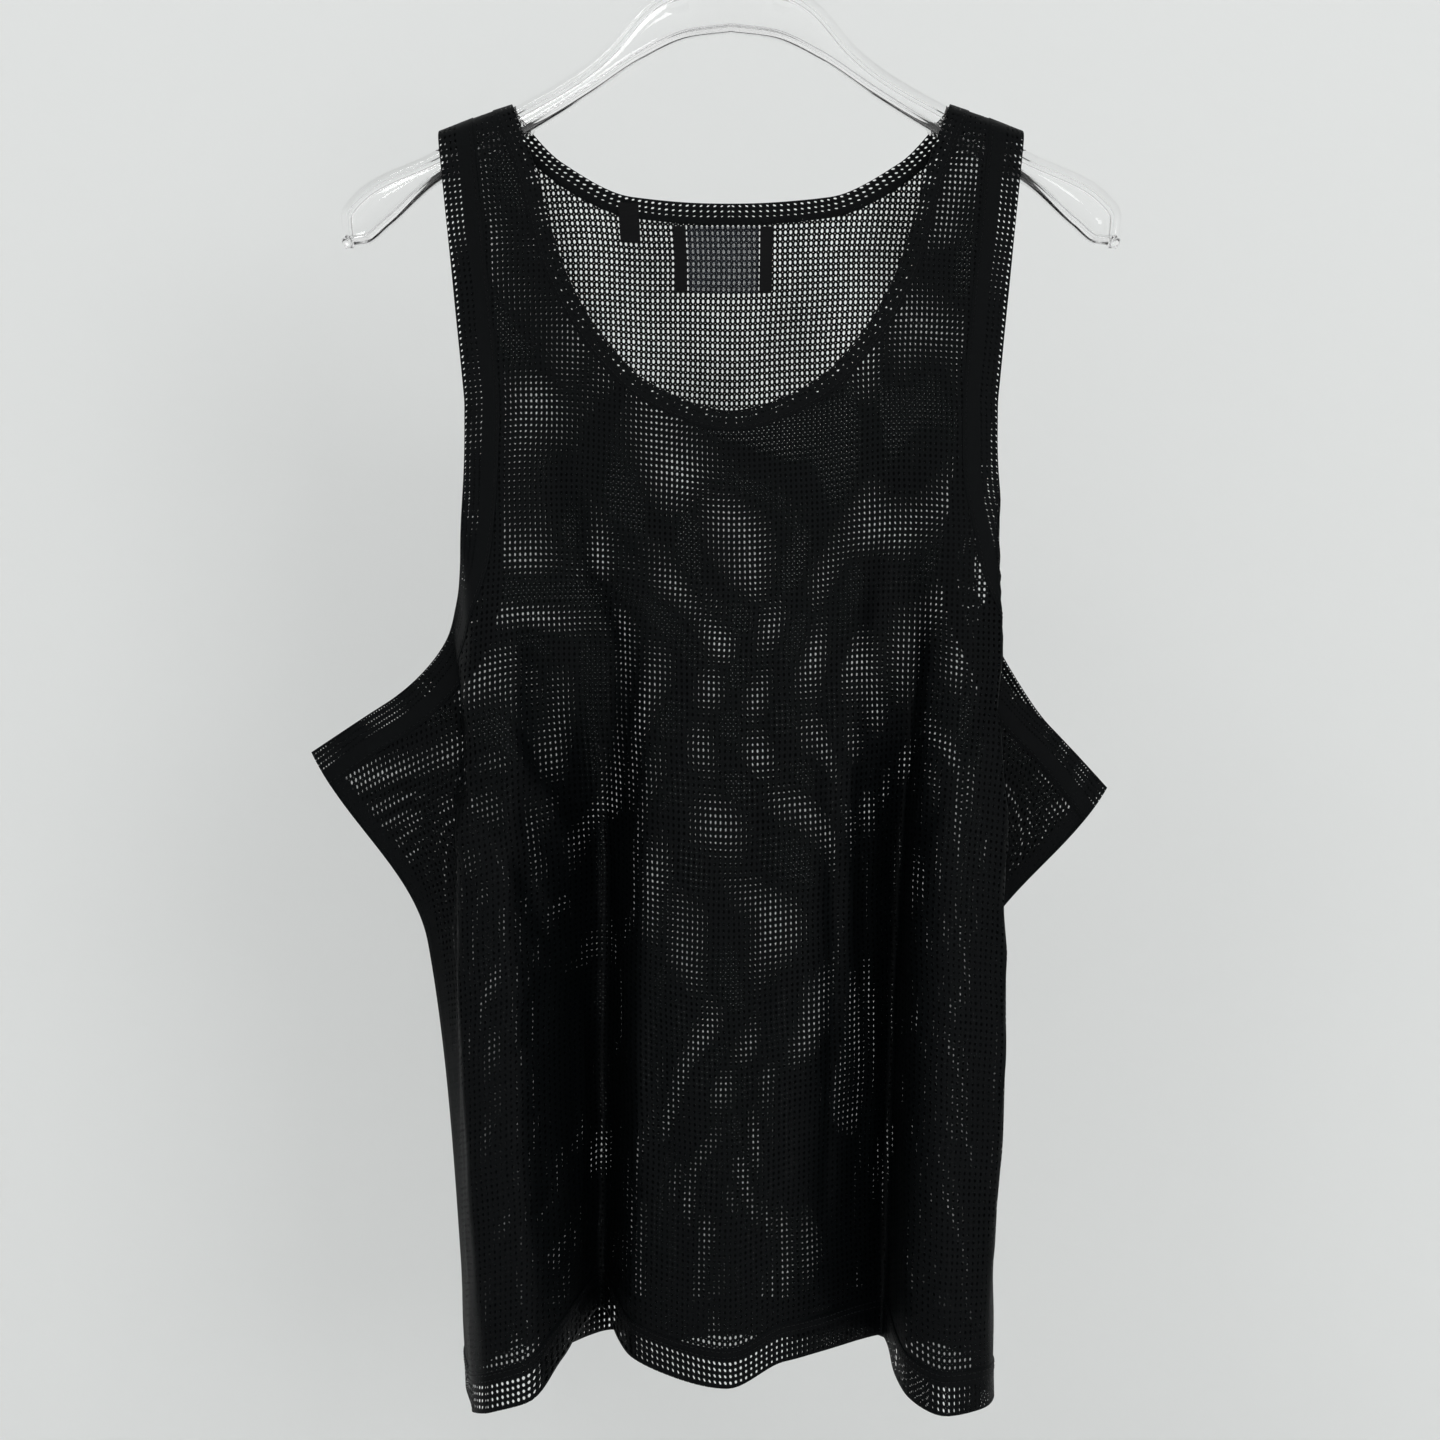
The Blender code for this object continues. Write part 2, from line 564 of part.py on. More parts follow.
def make_hook(collection):
    """Round wire hook: a stem, a short swing to one side and most of a circle."""
    bow = HOOK_INNER + HOOK_WIRE
    centre = -HOOK_INNER
    angles = np.radians(np.linspace(HOOK_START, HOOK_END, HOOK_BOW_POINTS))
    circle = [(bow * math.cos(angle), centre + bow * math.sin(angle)) for angle in angles]
    stem = [(0, HOOK_STEM_FOOT), (0, HOOK_STEM_TOP - HOOK_STRAIGHT), (0, HOOK_STEM_TOP)]
    route = np.array([*stem, HOOK_SWING, *circle])
    knots = running_length(route)
    route = smooth_through(knots, route, np.linspace(0, knots[-1], HOOK_POINTS))
    curve = bpy.data.curves.new("hanger_hook", "CURVE")
    curve.dimensions = "3D"
    curve.bevel_depth = HOOK_WIRE * MM
    curve.bevel_resolution = 3
    curve.use_fill_caps = True
    spline = curve.splines.new("POLY")
    spline.points.add(len(route) - 1)
    for point, (x, z) in zip(spline.points, route):
        point.co = (x * MM, 0.0, z * MM, 1.0)
    return finish_object("hanger_hook", curve, STEEL, collection)


def main():
    """Build the tank top and its hanger."""
    for old in list(bpy.data.objects):
        bpy.data.objects.remove(old)
    collection = bpy.data.collections.new("tank_top_on_hanger")
    cutters = bpy.data.collections.new("cutters")
    bpy.context.scene.collection.children.link(collection)
    bpy.context.scene.collection.children.link(cutters)
    make_cloth(collection)
    make_hanger(collection, cutters)
    make_hook(collection)


if __name__ == "__main__":
    main()
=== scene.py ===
"""Mesh tank top on a clear moulded hanger, in front of a pale wall.

Every piece of cloth is laid out on its flat cut, in millimetres across from the centre line and
down from the inner end of the shoulder seam, and is carried from there to where it hangs.
Its UV map "cut" holds the same flat distances in metres, so the knit follows the cloth.
"""

import logging
import math
from dataclasses import dataclass
from enum import Enum
from typing import Callable, ClassVar, Iterator, NamedTuple

import bmesh
import bpy
import numpy as np
from mathutils import Matrix, Vector


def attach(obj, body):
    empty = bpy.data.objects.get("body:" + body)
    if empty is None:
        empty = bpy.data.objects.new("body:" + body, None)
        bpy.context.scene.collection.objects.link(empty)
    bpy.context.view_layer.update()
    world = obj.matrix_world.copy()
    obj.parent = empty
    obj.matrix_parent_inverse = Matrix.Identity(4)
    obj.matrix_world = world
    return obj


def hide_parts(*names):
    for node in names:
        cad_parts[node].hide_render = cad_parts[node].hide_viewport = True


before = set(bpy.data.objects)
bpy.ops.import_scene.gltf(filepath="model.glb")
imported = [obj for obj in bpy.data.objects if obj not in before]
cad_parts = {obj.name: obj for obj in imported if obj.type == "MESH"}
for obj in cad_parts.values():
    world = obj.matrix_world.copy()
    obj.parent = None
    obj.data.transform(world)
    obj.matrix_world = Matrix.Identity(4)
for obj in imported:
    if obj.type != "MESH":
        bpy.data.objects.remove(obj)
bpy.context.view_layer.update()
LOG = logging.getLogger("tank_top")

MM = 0.001
SHARP = math.radians(50)
WAVE_SCALE = math.pi / 10  # a Wave texture of this scale repeats once in a unit
BODY = "root"
CUT_MAP = "cut"
GATHER_MAP = "gathered"
HANDS = (("left", -1), ("right", 1))
Array = np.ndarray
Laid = tuple[Array, Array, Array]
Place = Callable[[Array, Array], Laid]
Pair = tuple[float, float]
Triple = tuple[float, float, float]
Corners = tuple[float, float, float, float]
Colour = tuple[float, float, float, float]
Tree, Node, Socket = bpy.types.NodeTree, bpy.types.Node, bpy.types.NodeSocket
Piece = bpy.types.Object


# ---- Finishes ----


def linear(code: str) -> Colour:
    """Turn an sRGB hex colour into the linear values that a shader reads.

    Args:
        code: six hex digits after a hash sign.

    Returns:
        Linear red, green and blue, and an opacity of one.
    """
    shares = [int(code[start:start + 2], 16) / 255 for start in (1, 3, 5)]
    red, green, blue = (s / 12.92 if s <= 0.04045 else ((s + 0.055) / 1.055) ** 2.4 for s in shares)
    return (red, green, blue, 1.0)


def add_node(tree: Tree, kind: str, settings: dict, inputs: dict) -> Node:
    """Add a node with its settings and links.

    Args:
        tree: node tree of a material.
        kind: node type, without the words ShaderNode.
        settings: property values by name.
        inputs: a socket to link from, or a value, by input name or number.

    Returns:
        The new node.
    """
    node = tree.nodes.new(f"ShaderNode{kind}")
    for name, value in settings.items():
        setattr(node, name, value)
    for name, value in inputs.items():
        if isinstance(value, Socket):
            tree.links.new(value, node.inputs[name])
        else:
            node.inputs[name].default_value = value
    return node


@dataclass(frozen=True)
class Finish:
    """A Principled material: what it is made of, its colour, its gloss and its relief.

    The relief is the strength of the bump and its depth in mm.
    """

    title: str
    colour: str
    roughness: float
    specular: float = 0.5
    ON_CUT: ClassVar[bool] = False
    RELIEF: ClassVar[Pair] = (0.0, 0.0)

    def make(self) -> bpy.types.Material:
        """Make the material, with its pattern and its relief.

        Returns:
            The new material.
        """
        material = bpy.data.materials.new(self.title)
        material.use_nodes = True
        tree = material.node_tree
        shader = tree.nodes["Principled BSDF"]
        shader.inputs["Base Color"].default_value = linear(self.colour)
        shader.inputs["Roughness"].default_value = self.roughness
        shader.inputs["Specular IOR Level"].default_value = self.specular
        if self.ON_CUT:
            where = add_node(tree, "UVMap", {"uv_map": CUT_MAP}, {}).outputs["UV"]
        else:
            where = add_node(tree, "TexCoord", {}, {}).outputs["Object"]
        strength, depth = self.RELIEF
        bump = add_node(tree, "Bump", {}, {"Height": self.pattern(tree, shader, where),
                                           "Strength": strength, "Distance": depth * MM})
        tree.links.new(bump.outputs[0], shader.inputs["Normal"])
        return material

    def pattern(self, tree: Tree, shader: Node, where: Socket) -> Socket:
        """Add what varies over the surface.

        Args:
            tree: node tree of the material.
            shader: its Principled node.
            where: flat distances on cloth, or places on a hard piece, in metres.

        Returns:
            The height of the relief.
        """
        raise NotImplementedError


class Along(Enum):
    """Which flat distance a band of the cloth is measured by."""

    ACROSS = "X"
    DOWN = "Y"


class HeldBand(NamedTuple):
    """Band between two flat distances, in mm, where the holes are drawn closer or held open.

    A grip above nought draws them closer, as where a seam's edges lie behind; below it opens them.
    """

    along: Along
    start: float
    end: float
    grip: float

    @property
    def middle(self) -> float:
        """Distance of the band's middle."""
        return (self.start + self.end) / 2

    @property
    def half(self) -> float:
        """Half the band's width."""
        return (self.end - self.start) / 2


@dataclass(frozen=True)
class OpenKnit(Finish):
    """Warp-knitted polyester mesh: upright oval holes in a square grid, with pinholes between.

    The yarn is matt and very dark, so the cloth shows as a lattice against whatever is behind it.
    Where the cloth is gathered, its holes draw closed and the yarn's loose fibres veil them.
    """

    layers: int = 1
    bands: tuple[HeldBand, ...] = ()
    ON_CUT: ClassVar[bool] = True
    RELIEF: ClassVar[Pair] = (0.6, 0.15)
    PITCH: ClassVar[Pair] = (2.9, 3.4)
    OVAL: ClassVar[Pair] = (0.73, 1.1)
    PIN: ClassVar[Pair] = (0.2, 0.25)
    SHIFTS: ClassVar[tuple[Triple, ...]] = ((0.0, 0.0, 1.0), (0.14, 0.2, 1.003))
    HOLE_EDGE: ClassVar[float] = 0.09
    UNEVEN: ClassVar[float] = 0.07
    TWIST: ClassVar[float] = 0.4
    FUZZ: ClassVar[float] = 0.9
    BAND_FADE: ClassVar[Pair] = (-0.6, 0.4)

    def pattern(self, tree: Tree, shader: Node, where: Socket) -> Socket:
        """Open the holes and twist the yarn.

        Args:
            tree: node tree of the material.
            shader: its Principled node.
            where: flat distances on cloth, or places on a hard piece, in metres.

        Returns:
            The height of the relief.
        """
        gathered = add_node(tree, "Attribute", {"attribute_name": GATHER_MAP}, {}).outputs["Fac"]
        grip = self.tightness(tree, where, gathered)
        yarn = add_node(tree, "MapRange", {}, {"Value": gathered, "To Max": self.FUZZ}).outputs[0]
        for shift in self.SHIFTS[:self.layers]:
            mask = self.one_layer(tree, where, shift, grip)
            yarn = add_node(tree, "Math", {"operation": "MAXIMUM"}, {0: yarn, 1: mask}).outputs[0]
        tree.links.new(yarn, shader.inputs["Alpha"])
        twist = add_node(tree, "TexNoise", {"noise_dimensions": "2D"},
                         {"Vector": where, "Scale": 1 / (self.TWIST * MM), "Detail": 0.0})
        return twist.outputs["Fac"]

    def tightness(self, tree: Tree, cut: Socket, gathered: Socket) -> Socket:
        """Factor that shrinks the holes: as gathered as the cloth is, with the bands added.

        Args:
            tree: node tree of the material.
            cut: flat distances in metres.
            gathered: how much the cloth is gathered, nought where it is flat.

        Returns:
            The factor, about one on the open cloth.
        """
        grip = add_node(tree, "Math", {"operation": "ADD"}, {0: gathered, 1: 1.0}).outputs[0]
        parts = add_node(tree, "SeparateXYZ", {}, {"Vector": cut})
        for band in self.bands:
            distance = parts.outputs[band.along.value]
            for operation, shift in (("ABSOLUTE", 0), ("SUBTRACT", band.middle), ("ABSOLUTE", 0)):
                distance = add_node(tree, "Math", {"operation": operation},
                                    {0: distance, 1: shift * MM}).outputs[0]
            full, gone = ((band.half + fade) * MM for fade in self.BAND_FADE)
            inside = add_node(tree, "MapRange", {"interpolation_type": "SMOOTHSTEP"},
                              {"Value": distance, "From Min": full, "From Max": gone,
                               "To Min": 1.0, "To Max": 0.0})
            grip = add_node(tree, "Math", {"operation": "MULTIPLY_ADD"},
                            {0: inside.outputs[0], 1: band.grip, 2: grip}).outputs[0]
        return grip

    def one_layer(self, tree: Tree, cut: Socket, shift: Triple, grip: Socket) -> Socket:
        """Holes of one layer of knit.

        Args:
            tree: node tree of the material.
            cut: flat distances in metres.
            shift: shares of the pitch across and down, and a change of scale.
            grip: factor that shrinks the holes.

        Returns:
            One on the yarn and nought in a hole.
        """
        scale = [shift[2] / (pitch * MM) for pitch in self.PITCH]
        cells = add_node(tree, "VectorMath", {"operation": "MULTIPLY_ADD"},
                         {0: cut, 1: (*scale, 0.0), 2: (shift[0], shift[1], 0.0)}).outputs[0]
        whole = add_node(tree, "VectorMath", {"operation": "FLOOR"}, {0: cells})
        chance = add_node(tree, "TexWhiteNoise", {"noise_dimensions": "2D"},
                          {"Vector": whole.outputs[0]})
        uneven = add_node(tree, "MapRange", {}, {
            "Value": chance.outputs["Value"], "To Min": 1 - self.UNEVEN, "To Max": 1 + self.UNEVEN})
        grip = add_node(tree, "Math", {"operation": "MULTIPLY"},
                        {0: grip, 1: uneven.outputs[0]}).outputs[0]
        masks = []
        for hole, corner in ((self.OVAL, 0.0), (self.PIN, 0.5)):
            moved = add_node(tree, "VectorMath", {"operation": "ADD"},
                             {0: cells, 1: (corner, corner, 0.0)})
            cell = add_node(tree, "VectorMath", {"operation": "FRACTION"}, {0: moved.outputs[0]})
            reach = [pitch / half for pitch, half in zip(self.PITCH, hole)]
            centred = add_node(tree, "VectorMath", {"operation": "MULTIPLY_ADD"},
                               {0: cell.outputs[0], 1: (*reach, 0.0),
                                2: (-reach[0] / 2, -reach[1] / 2, 0.0)})
            length = add_node(tree, "VectorMath", {"operation": "LENGTH"}, {0: centred.outputs[0]})
            gripped = add_node(tree, "Math", {"operation": "MULTIPLY"},
                               {0: length.outputs["Value"], 1: grip})
            mask = add_node(tree, "MapRange", {}, {"Value": gripped.outputs[0],
                                                   "From Min": 1 - self.HOLE_EDGE,
                                                   "From Max": 1 + self.HOLE_EDGE})
            masks.append(mask.outputs[0])
        both = add_node(tree, "Math", {"operation": "MINIMUM"}, dict(enumerate(masks)))
        return both.outputs[0]


@dataclass(frozen=True)
class Organza(Finish):
    """Woven sheer polyester: fine crossed threads with a slight shine, dark but see-through.

    The real threads are about 0.2 mm apart; they are drawn 0.9 mm apart so that they show.
    """

    ON_CUT: ClassVar[bool] = True
    RELIEF: ClassVar[Pair] = (0.3, 0.1)
    THREAD: ClassVar[float] = 0.9
    OPACITY: ClassVar[Pair] = (0.36, 0.54)

    def pattern(self, tree: Tree, shader: Node, where: Socket) -> Socket:
        """Cross the threads and thin the cloth between them.

        Args:
            tree: node tree of the material.
            shader: its Principled node.
            where: flat distances on cloth, or places on a hard piece, in metres.

        Returns:
            The height of the relief.
        """
        waves = []
        for direction in ("X", "Y"):
            wave = add_node(tree, "TexWave", {"bands_direction": direction},
                            {"Vector": where, "Scale": WAVE_SCALE / (self.THREAD * MM),
                             "Distortion": 0.6, "Detail": 1.0, "Detail Scale": 2.0})
            waves.append(wave.outputs["Fac"])
        cover = add_node(tree, "Math", {"operation": "MAXIMUM"}, dict(enumerate(waves))).outputs[0]
        thinnest, fullest = self.OPACITY
        opacity = add_node(tree, "MapRange", {}, {"Value": cover, "From Min": 0.2,
                                                  "To Min": thinnest, "To Max": fullest})
        tree.links.new(opacity.outputs[0], shader.inputs["Alpha"])
        return cover


@dataclass(frozen=True)
class RibbedTape(Finish):
    """Woven satin tape: close crosswise ribs that catch a soft line of light."""

    ON_CUT: ClassVar[bool] = True
    RELIEF: ClassVar[Pair] = (0.5, 0.15)
    RIB: ClassVar[float] = 0.8
    GLOSS: ClassVar[Pair] = (-0.1, 0.15)

    def pattern(self, tree: Tree, shader: Node, where: Socket) -> Socket:
        """Raise the ribs and vary the gloss.

        Args:
            tree: node tree of the material.
            shader: its Principled node.
            where: flat distances on cloth, or places on a hard piece, in metres.

        Returns:
            The height of the relief.
        """
        ribs = add_node(tree, "TexWave", {"bands_direction": "Y"},
                        {"Vector": where, "Scale": WAVE_SCALE / (self.RIB * MM),
                         "Distortion": 0.4}).outputs["Fac"]
        smooth, rough = (self.roughness + change for change in self.GLOSS)
        gloss = add_node(tree, "MapRange", {}, {"Value": ribs, "To Min": smooth, "To Max": rough})
        tree.links.new(gloss.outputs[0], shader.inputs["Roughness"])
        return ribs


@dataclass(frozen=True)
class SpunThread(Finish):
    """Twisted polyester sewing thread: slightly glossier than the cloth it holds."""

    RELIEF: ClassVar[Pair] = (0.4, 0.1)
    PLY: ClassVar[float] = 0.5

    def pattern(self, tree: Tree, shader: Node, where: Socket) -> Socket:
        """Twist the plies.

        Args:
            tree: node tree of the material.
            shader: its Principled node; not used.
            where: flat distances on cloth, or places on a hard piece, in metres.

        Returns:
            The height of the relief.
        """
        plies = add_node(tree, "TexWave", {"bands_direction": "DIAGONAL"},
                         {"Vector": where, "Scale": WAVE_SCALE / (self.PLY * MM),
                          "Distortion": 1.0})
        return plies.outputs["Fac"]


@dataclass(frozen=True)
class ClearPolystyrene(Finish):
    """Injection-moulded clear polystyrene: bright rims, faint flow waves and fine handling haze."""

    RELIEF: ClassVar[Pair] = (0.01, 1.0)
    IOR: ClassVar[float] = 1.45
    FLOW: ClassVar[float] = 26.3
    SCUFF: ClassVar[float] = 8.33
    HAZE: ClassVar[float] = 0.05

    def pattern(self, tree: Tree, shader: Node, where: Socket) -> Socket:
        """Let light through, with moulding waves and a little wear.

        Args:
            tree: node tree of the material.
            shader: its Principled node.
            where: flat distances on cloth, or places on a hard piece, in metres.

        Returns:
            The height of the relief.
        """
        shader.inputs["Transmission Weight"].default_value = 1.0
        shader.inputs["IOR"].default_value = self.IOR
        waves = add_node(tree, "TexNoise", {}, {"Vector": where, "Scale": 1 / (self.FLOW * MM),
                                                "Detail": 2.0, "Distortion": 0.6})
        wear = add_node(tree, "TexNoise", {}, {"Vector": where, "Scale": 1 / (self.SCUFF * MM),
                                               "Detail": 3.0, "Roughness": 0.7})
        haze = add_node(tree, "MapRange", {}, {
            "Value": wear.outputs["Fac"], "From Min": 0.45, "From Max": 0.8,
            "To Min": self.roughness, "To Max": self.roughness + self.HAZE})
        tree.links.new(haze.outputs[0], shader.inputs["Roughness"])
        return waves.outputs["Fac"]


@dataclass(frozen=True)
class PolishedSteel(Finish):
    """Polished and plated steel wire: mirror-like, with fine drawing lines and light rub marks."""

    RELIEF: ClassVar[Pair] = (0.06, 0.05)
    LINE: ClassVar[float] = 0.4
    RUB: ClassVar[float] = 0.16

    def pattern(self, tree: Tree, shader: Node, where: Socket) -> Socket:
        """Add drawing lines and rub marks.

        Args:
            tree: node tree of the material.
            shader: its Principled node.
            where: flat distances on cloth, or places on a hard piece, in metres.

        Returns:
            The height of the relief.
        """
        shader.inputs["Metallic"].default_value = 1.0
        lines = add_node(tree, "TexNoise", {}, {"Vector": where, "Scale": 1 / (self.LINE * MM),
                                                "Detail": 2.0}).outputs["Fac"]
        rubbed = add_node(tree, "MapRange", {}, {
            "Value": lines, "From Min": 0.4, "From Max": 0.75,
            "To Min": self.roughness, "To Max": self.roughness + self.RUB})
        tree.links.new(rubbed.outputs[0], shader.inputs["Roughness"])
        return lines


@dataclass(frozen=True)
class WallPaint(Finish):
    """Rolled matt emulsion: even and pale, seen only from its painted side."""

    one_sided: bool = True
    RELIEF: ClassVar[Pair] = (0.12, 0.4)
    NAP: ClassVar[float] = 4.17

    def pattern(self, tree: Tree, shader: Node, where: Socket) -> Socket:
        """Roll the paint and leave the unpainted side clear.

        Args:
            tree: node tree of the material.
            shader: its Principled node.
            where: flat distances on cloth, or places on a hard piece, in metres.

        Returns:
            The height of the relief.
        """
        nap = add_node(tree, "TexNoise", {}, {"Vector": where, "Scale": 1 / (self.NAP * MM),
                                              "Detail": 3.0})
        if self.one_sided:
            facing = add_node(tree, "NewGeometry", {}, {}).outputs["Backfacing"]
            seen = add_node(tree, "Math", {"operation": "SUBTRACT"}, {0: 1.0, 1: facing})
            tree.links.new(seen.outputs[0], shader.inputs["Alpha"])
        return nap.outputs["Fac"]


# ---- Curves through given points ----


def smooth_through(knots: Array, values: Array, at: Array) -> Array:
    """Read a smooth curve that never swings past its values.

    Args:
        knots: increasing places where the curve is known.
        values: what it is there, one row for each knot.
        at: places to read it.

    Returns:
        One row for each place.
    """
    knots, values, at = (np.asarray(item, float) for item in (knots, values, at))
    width = np.diff(knots).reshape(-1, *[1] * (values.ndim - 1))
    rise = np.diff(values, axis=0) / width
    before, after = rise[:-1], rise[1:]
    same_way = before * after > 0
    first, second = 2 * width[1:] + width[:-1], width[1:] + 2 * width[:-1]
    spread = first / np.where(same_way, before, 1) + second / np.where(same_way, after, 1)
    inner = np.where(same_way, (first + second) / np.where(same_way, spread, 1), 0)
    slopes = np.concatenate([rise[:1], inner, rise[-1:]])
    span = np.clip(np.searchsorted(knots, at, side="right") - 1, 0, len(knots) - 2)
    step = width[span]
    t = (at - knots[span]).reshape(step.shape) / step
    bend = slopes[span] * step * (t - 2 * t**2 + t**3) + slopes[span + 1] * step * (t**3 - t**2)
    return values[span] + (values[span + 1] - values[span]) * (3 * t**2 - 2 * t**3) + bend


def running_length(points: Array) -> Array:
    """Length along a line of points, from its first."""
    steps = np.linalg.norm(np.diff(points, axis=0), axis=1)
    return np.concatenate([[0.0], np.cumsum(steps)])


def read_line(line: Array, share: Array) -> Array:
    """Points at shares of a line's length.

    Args:
        line: points along the line.
        share: shares of its length.

    Returns:
        One point for each share.
    """
    length = running_length(line)
    wanted = np.asarray(share) * length[-1]
    return np.stack([np.interp(wanted, length, line[:, k]) for k in range(line.shape[1])], axis=1)


def ramp(value: Array, start: float, end: float) -> Array:
    """Nought up to the start, one from the end on, and even between them."""
    return np.clip((value - start) / (end - start), 0, 1)


class Ripple(NamedTuple):
    """A wave over the flat cloth: its height, its run across and down, and where it starts."""

    height: float
    across: float
    down: float
    start: float = 0.0

    def at(self, flat: Array, turn: float = 1.0) -> Array:
        """Height of the wave at flat points, its start multiplied by the turn."""
        across, down = flat.T
        return self.height * np.sin(across / self.across + down / self.down + self.start * turn)


def drifted(across: tuple[Ripple, ...], down: tuple[Ripple, ...], flat: Array,
            turn: float = 1.0) -> Array:
    """Distances across and down that two sets of ripples move the knit by at flat points.

    Args:
        across: ripples that move it across.
        down: ripples that move it down.
        flat: flat points.
        turn: what their starts are multiplied by.

    Returns:
        One row for each point, in mm.
    """
    return np.stack([sum(ripple.at(flat, turn) for ripple in across),
                     sum(ripple.at(flat, turn) for ripple in down)], axis=1)


# ---- How the cloth hangs ----


class Side(Enum):
    """Front or back of the top, with the way it faces along Y."""

    FRONT = -1
    BACK = 1


class Fold(NamedTuple):
    """One fold line: x, y and extra fall at each level below the shoulder."""

    yoke: Triple
    underarm: Triple
    pit: Triple
    waist: Triple
    hem: Triple


class Crease(NamedTuple):
    """A listed crease: its ends on the flat cloth, half width, height outwards and bow."""

    start: Pair
    end: Pair
    half_width: float
    height: float
    bow: float


SEAM_LEFT = Fold((-274, 0, 36), (-262, 0, 50), (-237, 0, 56), (-171, 0, 44), (-146, 0, 50))
SEAM_RIGHT = Fold((274, 0, 36), (244, 0, 66), (212.5, 0, 76), (139, 10, 60), (138, 8, 43))
FRONT_FOLDS = {
    "seam_left": SEAM_LEFT,
    "wing_left": Fold((-212, -4, 20), (-205, -4, 28), (-195, -3, 32), (-163, -6, 40),
                      (-144, -16, 48)),
    "foot_left": Fold((-165, -12, 9), (-156, -10, 9), (-154, -7, 14), (-152, -16, 36),
                      (-142, -34, 44)),
    "crest_left": Fold((-148, -16, 5), (-146, -20, 6), (-142, -36, 9), (-150, -42, 30),
                       (-130, -52, 39)),
    "lobe_left": Fold((-130, -17, 3), (-128, -24, 3), (-121, -42, 4), (-124, -48, 20),
                      (-109, -55, 32)),
    "dip_left": Fold((-116, -18, 1), (-115, -24, 2), (-108, -33, 1), (-106, -30, 10),
                     (-94, -34, 15)),
    "valley_left": Fold((-95, -19, 1), (-92, -22, 0), (-70, -18, 0), (-72, 12, 3), (-74, 22, 0)),
    "belly_left": Fold((-50, -23, 8), (-47, -30, 8), (-42, -38, 6), (-45, -38, 16), (-55, -22, 17)),
    "mid": Fold((0, -24, 12), (0, -34, 11), (-2, -40, 10), (-2, -42, 22), (-2, -38, 30)),
    "belly_right": Fold((48, -23, 8), (44, -30, 8), (38, -38, 8), (38, -42, 18), (29, -30, 17)),
    "valley_right": Fold((98, -19, 1), (98, -21, 2), (102, -20, 2), (95, 8, 8), (86, 16, 14)),
    "rim_right": Fold((118, -18, 2), (118, -24, 3), (110, -34, 2), (104, -30, 8), (95, -40, 32)),
    "lobe_right": Fold((134, -17, 3), (133, -26, 4), (122, -40, 4), (120, -44, 14), (116, -56, 40)),
    "crest_right": Fold((149, -16, 5), (149, -25, 6), (150, -34, 6), (150, -38, 22),
                        (139, -44, 38)),
    "foot_right": Fold((166, -12, 9), (144, -9, 12), (138, -10, 13), (146, -8, 34), (145, -24, 37)),
    "wing_right": Fold((212, -4, 20), (190, -4, 40), (178, -3, 43), (139, 4, 46), (143, -6, 40)),
    "seam_right": SEAM_RIGHT,
}
BACK_FOLDS = {
    "seam_left": SEAM_LEFT,
    "wing_left": Fold((-212, 4, 20), (-205, 5, 28), (-195, 4, 32), (-162, 24, 36), (-152, 24, 44)),
    "side_left": Fold((-148, 12, 5), (-148, 14, 8), (-158, 14, 18), (-144, 54, 24), (-128, 64, 34)),
    "groove_left": Fold((-118, 16, 1), (-112, 22, 3), (-118, 24, 8), (-106, 22, 16),
                        (-100, 22, 22)),
    "fold_left": Fold((-80, 18, 2), (-76, 30, 3), (-75, 44, 3), (-78, 68, 12), (-70, 66, 24)),
    "inner_left": Fold((-40, 20, 6), (-40, 21, 8), (-40, 24, 6), (-40, 28, 14), (-38, 34, 22)),
    "mid": Fold((0, 21, 8), (0, 30, 12), (0, 46, 10), (2, 60, 20), (0, 62, 26)),
    "inner_right": Fold((40, 20, 6), (40, 20, 8), (40, 24, 6), (42, 30, 14), (40, 32, 20)),
    "fold_right": Fold((80, 18, 2), (76, 34, 3), (75, 46, 3), (80, 66, 10), (72, 64, 22)),
    "groove_right": Fold((118, 16, 1), (112, 9, 4), (116, 20, 8), (106, 20, 14), (98, 22, 20)),
    "side_right": Fold((150, 12, 5), (138, 15, 8), (148, 14, 18), (134, 54, 28), (126, 60, 32)),
    "wing_right": Fold((212, 4, 20), (190, 5, 40), (180, 4, 44), (150, 32, 46), (150, 30, 40)),
    "seam_right": SEAM_RIGHT,
}
